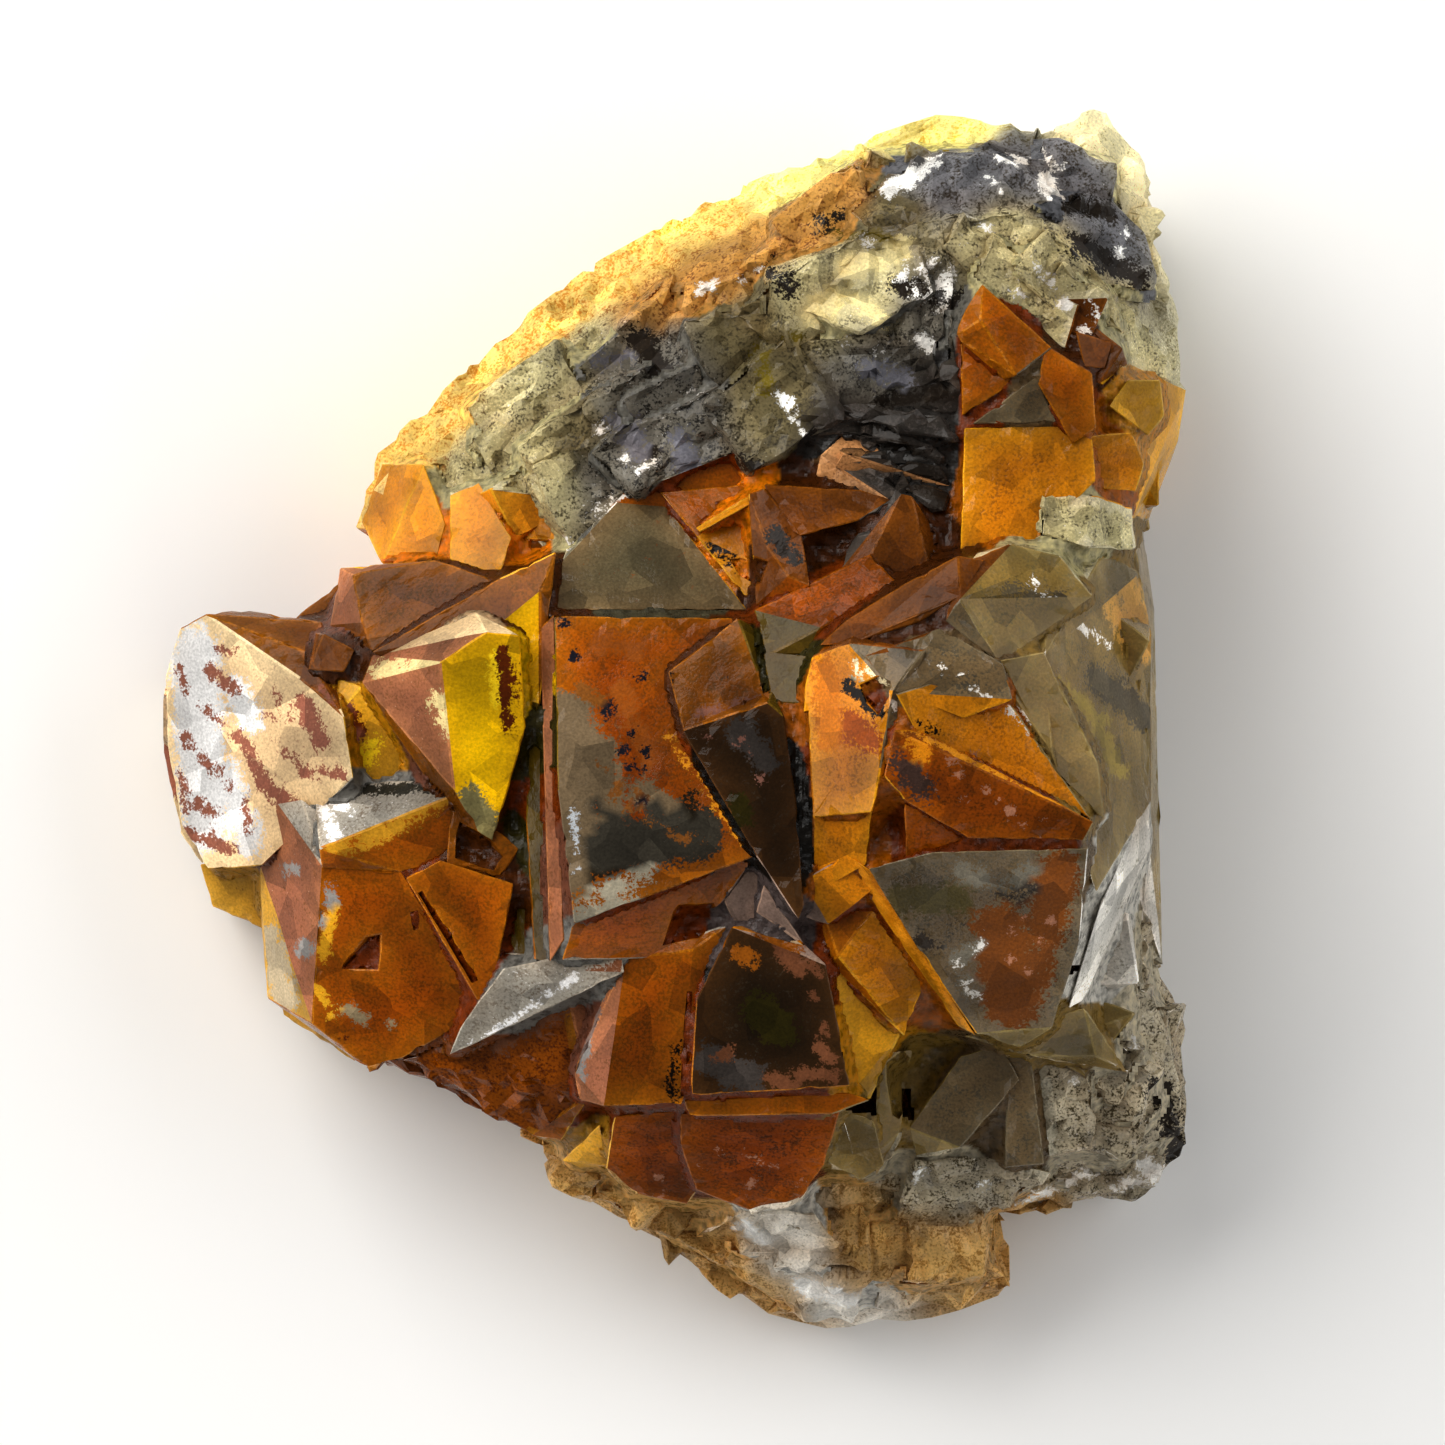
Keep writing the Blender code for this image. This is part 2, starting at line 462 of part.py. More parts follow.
LOWER_RIGHT_CRYSTALS = {
    "grey_blade": (
        [(11.4, -20.4, 14.0), (14.0, -16.8, 15.8), (16.0, -16.2, 16.2), (17.0, -18.0, 15.6),
         (14.0, -21.4, 13.8)],
        [(11.8, -21.8, 12.4)],
    ),
    "bell_column": (
        [(16.4, -16.4, 16.0), (17.6, -17.2, 15.8), (18.2, -22.2, 12.8), (16.2, -22.4, 12.6)],
        [],
    ),
    "dark_box": (
        [(17.8, -17.0, 14.8), (20.8, -17.0, 14.6), (20.4, -21.2, 12.4), (18.4, -21.8, 12.2)],
        [],
    ),
    "olive_roof": (
        [(14.2, -15.8, 18.0), (18.6, -14.8, 18.0), (20.2, -14.4, 17.6), (20.8, -16.8, 16.0),
         (17.4, -16.8, 16.4)],
        [(22.4, -17.6, 13.6)],
    ),
    "right_shard": (
        [(22.0, -13.0, 13.0), (23.5, -13.4, 11.4), (24.9, -17.0, 9.8), (21.6, -18.0, 12.8)],
        [(25.0, -20.8, 8.6), (22.8, -21.4, 10.6)],
    ),
    "corner_knob": (
        [(21.0, -22.4, 9.2), (23.0, -21.4, 9.4), (24.2, -21.8, 8.0), (22.6, -23.4, 7.6)],
        [(23.6, -23.1, 6.4), (22.6, -23.8, 5.8), (21.2, -23.6, 6.4)],
    ),
    "bottom_fold": (
        [(11.8, -22.2, 12.2), (15.2, -21.8, 12.2), (18.6, -22.6, 11.0), (16.4, -24.2, 9.8),
         (12.6, -24.4, 10.4)],
        [(12.4, -26.2, 8.4), (10.6, -25.6, 9.2)],
    ),
    "fan_foot": (
        [(3.2, -24.5, 11.6), (6.6, -24.7, 12.0), (9.0, -27.8, 8.6), (8.6, -30.1, 6.0),
         (6.2, -30.1, 5.4)],
        [(3.8, -27.8, 6.4), (0.8, -25.8, 7.6)],
    ),
    "bottom_tongue": (
        [(10.0, -26.6, 9.0), (13.6, -26.0, 8.8), (16.2, -27.8, 6.4), (14.0, -29.3, 5.2),
         (9.8, -29.3, 6.0)],
        [],
    ),
    "olive_trough": (
        [(9.8, -16.7, 17.4), (11.6, -16.5, 17.0), (11.0, -20.6, 15.2), (9.8, -21.6, 15.0)],
        [(9.8, -22.8, 13.4)],
    ),
}

CRYSTAL_GROUPS = (
    LEFT_CRYSTALS,
    CENTRE_CRYSTALS,
    RIGHT_CRYSTALS,
    UPPER_CRYSTALS,
    LOWER_RIGHT_CRYSTALS,
)

# Pits and clefts: the corners of each hollow, its rim carried above the face it opens in
HOLLOWS = {
    "triangular_pit": [
        (-17.1, -10.4, 18.0), (-14.5, -10.1, 18.0), (-14.8, -13.0, 18.0), (-17.9, -12.7, 18.0),
        (-15.2, -11.0, 13.8), (-15.2, -12.3, 13.3), (-16.8, -12.4, 13.6),
    ],
    "green_slit": [
        (-13.5, -8.3, 19.5), (-13.0, -8.1, 19.5), (-9.9, -13.1, 18.8), (-10.4, -13.4, 18.8),
        (-12.8, -8.9, 15.4), (-10.4, -12.9, 15.0),
    ],
    "dark_notch": [
        (-14.2, -9.2, 18.5), (-12.9, -8.9, 18.5), (-12.5, -10.4, 18.5), (-13.8, -11.0, 18.5),
        (-13.2, -9.8, 15.2), (-13.2, -10.4, 15.2),
    ],
    "recess_under_lemon": [
        (-11.4, -4.6, 20.0), (-9.7, -6.5, 20.0), (-8.3, -6.5, 20.0), (-9.0, -7.8, 20.0),
        (-11.5, -7.0, 20.0), (-10.6, -5.6, 15.6), (-9.6, -7.2, 15.6), (-11.0, -6.8, 15.6),
    ],
    "dark_pit": [
        (-0.3, -9.1, 22.5), (2.1, -8.9, 22.5), (2.4, -9.9, 22.5), (1.0, -11.1, 22.5),
        (-1.2, -11.6, 22.0), (0.6, -9.8, 17.8), (0.9, -10.5, 17.8), (-0.4, -10.8, 18.0),
    ],
    "cube_cleft": [
        (0.3, -13.2, 22.5), (0.8, -13.2, 22.5), (0.5, -19.0, 21.5), (-0.1, -19.0, 21.5),
        (0.4, -14.0, 17.6), (0.2, -18.6, 17.0),
    ],
    "block_cleft": [
        (5.9, 0.6, 26.0), (6.5, 0.6, 26.0), (6.9, -9.6, 26.0), (6.3, -9.8, 26.0),
        (6.1, 0.0, 21.0), (6.5, -9.4, 21.0),
    ],
    "boss_crevice": [
        (8.9, 4.0, 29.5), (12.6, 4.9, 29.5), (14.0, 5.2, 29.5), (12.6, 4.2, 29.5),
        (9.4, 3.5, 29.5), (10.0, 4.0, 25.4), (12.6, 4.6, 25.2),
    ],
    "glint_pit": [
        (8.4, 2.2, 29.5), (10.8, 2.9, 29.5), (10.6, 0.4, 29.5), (9.6, -0.4, 29.5),
        (9.2, 1.6, 25.8), (10.2, 0.8, 25.8),
    ],
    "hollow_behind_star": [
        (1.0, 10.9, 20.0), (3.1, 11.5, 20.0), (3.3, 11.1, 20.0), (1.3, 9.9, 20.0),
        (2.2, 10.9, 15.2),
    ],
    "star_cleft": [
        (3.6, 8.7, 21.5), (4.7, 8.1, 21.5), (4.3, 6.6, 21.5), (3.4, 6.2, 21.5),
        (1.9, 8.4, 20.5), (3.6, 7.4, 16.2), (2.8, 7.8, 16.4),
    ],
    "grey_gully": [
        (13.0, 21.0, 21.5), (13.9, 21.0, 21.5), (13.4, 16.6, 21.0), (12.4, 16.6, 21.0),
        (13.4, 20.0, 17.0), (12.9, 17.4, 16.8),
    ],
    "olive_gap": [
        (9.9, -17.0, 19.5), (11.2, -16.0, 19.5), (12.8, -17.6, 19.0), (11.0, -20.4, 18.0),
        (10.4, -20.0, 18.0), (11.0, -17.4, 12.6), (10.9, -19.4, 12.4),
    ],
    "bottom_notch": [
        (15.6, -24.9, 14.0), (18.4, -24.5, 14.0), (18.6, -26.4, 10.0), (16.4, -26.4, 10.0),
        (16.1, -25.0, 0.0), (18.4, -25.0, -4.0), (18.4, -26.4, -4.0), (16.3, -26.4, 0.0),
    ],
}

# Rows of cleavage chips on the broken surfaces: the two ends of the row, how many chips, their
# size along the row, across it and upward, the heading of the cleavage in degrees, and how far
# the chips lie off the line
CHIP_ROWS = {
    "golden_rim": ((-13.6, 11.6, 7.4), (11.2, 28.0, 8.4), 13, (3.2, 2.0, 3.6), 34, 0.5),
    "rusty_band": ((-9.0, 14.4, 11.6), (8.6, 25.0, 14.6), 8, (3.6, 2.4, 2.0), 30, 0.9),
    "massive_low": ((-7.0, 11.6, 14.0), (7.6, 21.6, 17.0), 7, (4.0, 2.8, 1.7), 28, 1.0),
    "massive_high": ((-4.0, 11.6, 15.3), (5.6, 16.8, 17.2), 5, (4.2, 3.0, 1.6), 22, 0.9),
    "dark_layers": ((10.6, 9.8, 17.0), (10.4, 14.8, 17.2), 6, (5.4, 0.9, 2.6), -8, 0.2),
    "crest": ((10.4, 27.4, 12.0), (19.6, 26.6, 12.6), 5, (2.8, 2.0, 3.0), -10, 0.4),
    "upper_right_edge": ((21.9, 23.6, 10.0), (22.4, 11.9, 10.6), 7, (2.8, 1.9, 3.0), 84, 0.4),
    "upper_right_glass": ((15.4, 23.6, 18.0), (20.4, 18.6, 17.4), 5, (2.8, 2.0, 1.9), -40, 1.0),
    "flank_edge": ((21.9, 6.0, 10.6), (21.9, -11.0, 8.8), 8, (2.8, 1.6, 3.4), 88, 0.3),
    "flank_shoulder": ((21.7, 3.0, 16.2), (21.2, -11.0, 13.6), 6, (2.8, 1.7, 2.2), 80, 0.5),
    "lower_right_edge": ((22.4, -13.8, 8.4), (23.2, -20.2, 7.0), 4, (2.6, 2.0, 3.0), 78, 0.4),
    "lower_right_steps": ((20.8, -15.6, 13.6), (21.8, -20.4, 11.0), 4, (2.6, 1.9, 1.9), 60, 0.6),
    "lower_edge": ((17.4, -22.6, 7.4), (22.0, -22.0, 7.2), 4, (2.4, 1.7, 2.6), 8, 0.3),
    "bottom_edge": ((14.0, -27.2, 4.6), (6.4, -28.2, 4.6), 4, (3.0, 1.9, 2.6), 8, 0.4),
    "bottom_left_edge": ((3.4, -26.8, 5.0), (-4.8, -22.4, 8.0), 5, (2.8, 1.7, 2.8), -32, 0.4),
    "bottom_slope": ((4.2, -26.2, 8.4), (12.6, -25.6, 8.4), 4, (3.2, 2.2, 1.8), 10, 0.7),
    "left_edge": ((-8.8, -18.6, 9.4), (-15.8, -15.4, 7.8), 4, (2.8, 1.7, 2.8), -30, 0.3),
    "foot_left": ((-18.2, -8.8, 3.4), (-20.4, 1.0, 3.4), 4, (3.6, 2.2, 4.2), 96, 0.3),
    "foot_lower_left": ((-9.4, -17.6, 3.8), (-16.0, -13.2, 3.8), 3, (3.6, 2.2, 4.2), -34, 0.3),
    "foot_upper_left": ((-11.4, 11.8, 4.0), (8.2, 25.2, 4.2), 8, (3.6, 2.4, 4.4), 36, 0.3),
    "foot_upper_right": ((20.8, 24.2, 4.0), (22.2, 10.4, 4.0), 5, (3.6, 2.4, 4.4), 86, 0.3),
    "foot_right": ((21.6, 3.0, 3.8), (21.6, -17.6, 3.4), 7, (3.6, 2.2, 4.4), 90, 0.3),
    "foot_lower_right": ((21.8, -21.4, 3.0), (17.4, -22.6, 3.2), 2, (3.2, 2.2, 3.4), 14, 0.2),
    "foot_bottom": ((13.8, -25.8, 2.4), (5.6, -27.4, 2.4), 3, (3.4, 2.4, 3.2), 6, 0.3),
    "foot_bottom_left": ((2.4, -26.0, 2.8), (-5.4, -20.6, 3.8), 4, (3.4, 2.2, 3.8), -36, 0.3),
}


def clear_scene():
    for obj in list(bpy.data.objects):
        bpy.data.objects.remove(obj)


def fluorite_material():
    material = bpy.data.materials.new("fluorite")
    material.use_nodes = True
    shader = material.node_tree.nodes["Principled BSDF"]
    shader.inputs["Base Color"].default_value = (0.42, 0.17, 0.03, 1.0)
    shader.inputs["Roughness"].default_value = 0.25
    shader.inputs["Metallic"].default_value = 0.0
    shader.inputs["IOR"].default_value = 1.434
    return material


def convex_block(name, corners, collection):
    """The solid with flat faces that spans these corners."""
    mesh = bpy.data.meshes.new(name)
    shape = bmesh.new()
    for corner in corners:
        shape.verts.new(Vector(corner) * MM)
    hull = bmesh.ops.convex_hull(shape, input=shape.verts)
    inside = [v for v in hull["geom_interior"] if isinstance(v, bmesh.types.BMVert)]
    bmesh.ops.delete(shape, geom=inside, context="VERTS")
    bmesh.ops.recalc_face_normals(shape, faces=shape.faces)
    bmesh.ops.dissolve_limit(shape, angle_limit=0.001, verts=shape.verts, edges=shape.edges)
    shape.to_mesh(mesh)
    shape.free()
    block = bpy.data.objects.new(name, mesh)
    block.hide_render = True
    block.display_type = "WIRE"
    collection.objects.link(block)
    return block


def widened(corner):
    """The corner moved out from the middle, the more so the lower it is."""
    x, y, z = corner
    spread = 1.0 + (CREST_LEVEL - z) * WIDENING
    return (MIDDLE[0] + (x - MIDDLE[0]) * spread, MIDDLE[1] + (y - MIDDLE[1]) * spread, z)


def flattened(face):
    """The corners of a face moved up or down onto the plane that fits them best."""
    count = len(face)
    mean_x = sum(x for x, y, z in face) / count
    mean_y = sum(y for x, y, z in face) / count
    mean_z = sum(z for x, y, z in face) / count
    xx = sum((x - mean_x) ** 2 for x, y, z in face)
    yy = sum((y - mean_y) ** 2 for x, y, z in face)
    xy = sum((x - mean_x) * (y - mean_y) for x, y, z in face)
    xz = sum((x - mean_x) * (z - mean_z) for x, y, z in face)
    yz = sum((y - mean_y) * (z - mean_z) for x, y, z in face)
    spread = xx * yy - xy * xy
    slope_x = (xz * yy - yz * xy) / spread
    slope_y = (yz * xx - xz * xy) / spread
    return [
        (x, y, mean_z + slope_x * (x - mean_x) + slope_y * (y - mean_y)) for x, y, z in face
    ]


def footed(corners):
    """A mass whose base corners, given at height 0, run on below the plane it is cut off on."""
    return [(x, y, z if z > REST_PLANE else BELOW_REST) for x, y, z in map(widened, corners)]


def rooted(main_face, others):
    """A crystal's visible corners, and the same corners sunk into the mass and drawn together."""
    corners = flattened([widened(c) for c in main_face]) + [widened(c) for c in others]
    centre_x = sum(x for x, y, z in corners) / len(corners)
    centre_y = sum(y for x, y, z in corners) / len(corners)
    sunk = []
    for x, y, z in corners:
        sunk.append((
            centre_x + (x - centre_x) * ROOT_NARROWING,
            centre_y + (y - centre_y) * ROOT_NARROWING,
            max(z - ROOT_DEPTH, REST_PLANE + 1.0),
        ))
    return corners + sunk


def chip(centre, size, heading, chance):
    """One cleavage chip: a block with corners that stray a little, tilted a little."""
    turn = Euler((
        math.radians(chance.uniform(-16, 16)),
        math.radians(chance.uniform(-16, 16)),
        math.radians(heading + chance.uniform(-14, 14)),
    )).to_matrix()
    grown = chance.uniform(*CHIP_SIZES)
    corners = []
    for sx in (-0.5, 0.5):
        for sy in (-0.5, 0.5):
            for sz in (-0.5, 0.5):
                corner = Vector((
                    size[0] * grown * (sx + chance.uniform(-CHIP_STRAY, CHIP_STRAY)),
                    size[1] * grown * (sy + chance.uniform(-CHIP_STRAY, CHIP_STRAY)),
                    size[2] * (sz + chance.uniform(-CHIP_STRAY, CHIP_STRAY)),
                ))
                corners.append(tuple(Vector(widened(centre)) + turn @ corner))
    return corners


def add_chips(collection):
    for name, (start, end, count, size, heading, off_line) in CHIP_ROWS.items():
        chance = random.Random(name)
        for i in range(count):
            along = i / (count - 1)
            x, y, z = (a + (b - a) * along for a, b in zip(start, end))
            centre = (
                x + chance.uniform(-off_line, off_line),
                y + chance.uniform(-off_line, off_line),
                z + chance.uniform(-0.3, 0.3),
            )
            convex_block(f"{name}_{i + 1}", chip(centre, size, heading, chance), collection)


def add_blocks(collection):
    for name, corners in MASSES.items():
        convex_block(name, footed(corners), collection)
    for group in CRYSTAL_GROUPS:
        for name, (main_face, others) in group.items():
            convex_block(name, rooted(main_face, others), collection)
    add_chips(collection)


def new_collection(name):
    collection = bpy.data.collections.new(name)
    bpy.context.scene.collection.children.link(collection)
    return collection


def combined(body, operation, collection):
    """Join the collection's blocks to the body, or take them away from it."""
    step = body.modifiers.new(operation.lower(), "BOOLEAN")
    step.operation = operation
    step.operand_type = "COLLECTION"
    step.collection = collection
    step.solver = "EXACT"
    step.use_self = operation == "UNION"
    scene_now = bpy.context.evaluated_depsgraph_get()
    mesh = bpy.data.meshes.new_from_object(body.evaluated_get(scene_now))
    body.modifiers.remove(step)
    body.data = mesh
    for block in list(collection.objects):
        bpy.data.objects.remove(block)


def keep_outer_skin(shape):
    """Fill the gaps sealed inside the mass: only the skin that can be touched stays."""
    left = set(shape.faces)
    skins = []
    while left:
        skin = {left.pop()}
        front = list(skin)
        while front:
            for edge in front.pop().edges:
                for other in edge.link_faces:
                    if other in left:
                        left.remove(other)
                        skin.add(other)
                        front.append(other)
        skins.append(skin)
    outer = max(skins, key=lambda skin: sum(face.calc_area() for face in skin))
    buried = [face for skin in skins if skin is not outer for face in skin]
    bmesh.ops.delete(shape, geom=buried, context="FACES")


def cut_off_flat(shape):
    """Take away what is below the plane the specimen rests on, and close the cut."""
    cut = bmesh.ops.bisect_plane(
        shape, geom=shape.verts[:] + shape.edges[:] + shape.faces[:], dist=1e-7,
        plane_co=(0.0, 0.0, REST_PLANE * MM), plane_no=(0.0, 0.0, 1.0), clear_inner=True,
    )
    rim = [e for e in cut["geom_cut"] if isinstance(e, bmesh.types.BMEdge)]
    bmesh.ops.triangle_fill(shape, edges=rim, use_beauty=True)
    bmesh.ops.dissolve_limit(shape, angle_limit=0.002, verts=shape.verts, edges=shape.edges)
    spare = [v for v in shape.verts if len(v.link_edges) == 2]
    bmesh.ops.dissolve_verts(shape, verts=spare)


def is_closed(shape):
    """Whether every edge, once the faces are cut into triangles, joins exactly two of them."""
    probe = shape.copy()
    bmesh.ops.triangulate(probe, faces=probe.faces)
    mesh = bpy.data.meshes.new("probe")
    probe.to_mesh(mesh)
    closed = all(len(edge.link_faces) == 2 for edge in probe.edges)
    probe.free()
    sides = {}
    for face in mesh.polygons:
        for edge in face.edge_keys:
            sides[edge] = sides.get(edge, 0) + 1
    bpy.data.meshes.remove(mesh)
    return closed and all(count == 2 for count in sides.values())


def tidied(mesh):
    """The joined mesh with near corners welded, its outer skin kept, and its back cut flat."""
    for weld in WELDS:
        shape = bmesh.new()
        shape.from_mesh(mesh)
        bmesh.ops.remove_doubles(shape, verts=shape.verts, dist=weld * MM)
        keep_outer_skin(shape)
        cut_off_flat(shape)
        bmesh.ops.recalc_face_normals(shape, faces=shape.faces)
        if is_closed(shape):
            break
    shape.to_mesh(mesh)
    shape.free()


def set_size(mesh):
    """Bring the length to its driving value, with the middle of the outline over the origin."""
    xs = [v.co.x for v in mesh.vertices]
    ys = [v.co.y for v in mesh.vertices]
    factor = SPECIMEN_LENGTH * MM / (max(ys) - min(ys))
    middle = Vector(((min(xs) + max(xs)) / 2, (min(ys) + max(ys)) / 2, REST_PLANE * MM))
    for vertex in mesh.vertices:
        vertex.co = (vertex.co - middle) * factor


def cluster(material):
    """One solid: core, masses, crystals and chips joined, hollowed, and cut off flat."""
    blocks = new_collection("blocks")
    add_blocks(blocks)
    hollows = new_collection("hollows")
    for name, corners in HOLLOWS.items():
        convex_block(name, [widened(c) for c in corners], hollows)

    body = convex_block("fluorite_cluster", footed(CORE), bpy.context.scene.collection)
    body.hide_render = False
    body.display_type = "TEXTURED"
    combined(body, "UNION", blocks)
    combined(body, "DIFFERENCE", hollows)

    tidied(body.data)
    set_size(body.data)
    body.data.materials.clear()
    body.data.materials.append(material)
    return body


def main():
    clear_scene()
    cluster(fluorite_material())


main()
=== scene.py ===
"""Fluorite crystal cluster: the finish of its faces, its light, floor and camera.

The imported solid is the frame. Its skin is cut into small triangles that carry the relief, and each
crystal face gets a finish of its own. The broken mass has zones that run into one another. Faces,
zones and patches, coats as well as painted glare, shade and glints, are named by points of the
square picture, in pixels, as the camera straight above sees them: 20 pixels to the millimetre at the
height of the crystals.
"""

import math
import random
from collections import namedtuple

import bmesh
import bpy
import numpy as np
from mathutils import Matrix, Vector, noise
from mathutils.bvhtree import BVHTree
from mathutils.kdtree import KDTree

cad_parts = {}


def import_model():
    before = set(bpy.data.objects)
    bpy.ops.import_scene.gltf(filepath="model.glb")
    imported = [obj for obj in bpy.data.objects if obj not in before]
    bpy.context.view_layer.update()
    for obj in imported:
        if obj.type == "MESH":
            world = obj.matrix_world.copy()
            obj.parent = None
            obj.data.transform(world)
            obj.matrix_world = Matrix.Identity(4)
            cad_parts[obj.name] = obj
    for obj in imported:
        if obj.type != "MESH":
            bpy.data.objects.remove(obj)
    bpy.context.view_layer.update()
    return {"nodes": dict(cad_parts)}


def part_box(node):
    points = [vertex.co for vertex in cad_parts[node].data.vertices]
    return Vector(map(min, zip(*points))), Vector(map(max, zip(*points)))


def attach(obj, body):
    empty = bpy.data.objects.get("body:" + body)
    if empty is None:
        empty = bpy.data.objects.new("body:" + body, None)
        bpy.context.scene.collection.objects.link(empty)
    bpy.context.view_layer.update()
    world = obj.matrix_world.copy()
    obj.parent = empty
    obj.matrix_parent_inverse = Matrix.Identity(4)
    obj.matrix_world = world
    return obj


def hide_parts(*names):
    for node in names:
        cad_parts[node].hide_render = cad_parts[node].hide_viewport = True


MM = 0.001
NODE = "fluorite_cluster"
SEED = 7

# The picture, and the camera straight above the specimen
PICTURE_PX = 1445
PX_PER_MM = 20.0
CREST_HEIGHT = 20.0 * MM
CAMERA_RISE = 500.0 * MM
CAMERA_PLACE = Vector((2.44 * MM, 0.02 * MM, CREST_HEIGHT + CAMERA_RISE))
SENSOR_WIDTH = 36.0

# Fineness of the mesh, the blunting of crystal edges, and what counts as sharp or as one face
SEEN_EDGE = 0.68 * MM
UNSEEN_EDGE = 2.2 * MM
SEEN_ABOVE = 4.0 * MM
HALVINGS = 6
BLUNTING = 0.07 * MM
SHARP = math.radians(18)
SAME_FACE = math.radians(3)

# A broken surface is made of small cleavage planes that lean along a few directions
CLEAVAGE_LEANS = ((0.55, 0.15), (-0.25, 0.50), (-0.35, -0.45), (0.10, -0.20), (0.0, 0.0))
CLEAVAGE_PITCH = 1.5 * MM

# How far the painted glow and highlight of a crystal edge, and the painted shade of a crevice, reach
RIM_REACH = 0.45 * MM
CREVICE_REACH = 0.40 * MM

# How much a crystal face darkens from one side to the other
FACE_FADE = 0.34

# Growth in the gaps between crystals: the grid that finds them, and for narrow and wide gaps their
# half width in steps of the grid and how far below the rims the growth stands
GAP_PITCH = 0.16 * MM
GAPS = ((3, 0.25 * MM), (7, 1.10 * MM), (12, 1.70 * MM))
GAP_LEAST = 0.20 * MM

# Width over which a painted patch fades, for the shader to cut it ragged
PATCH_FADE_PX = 30.0
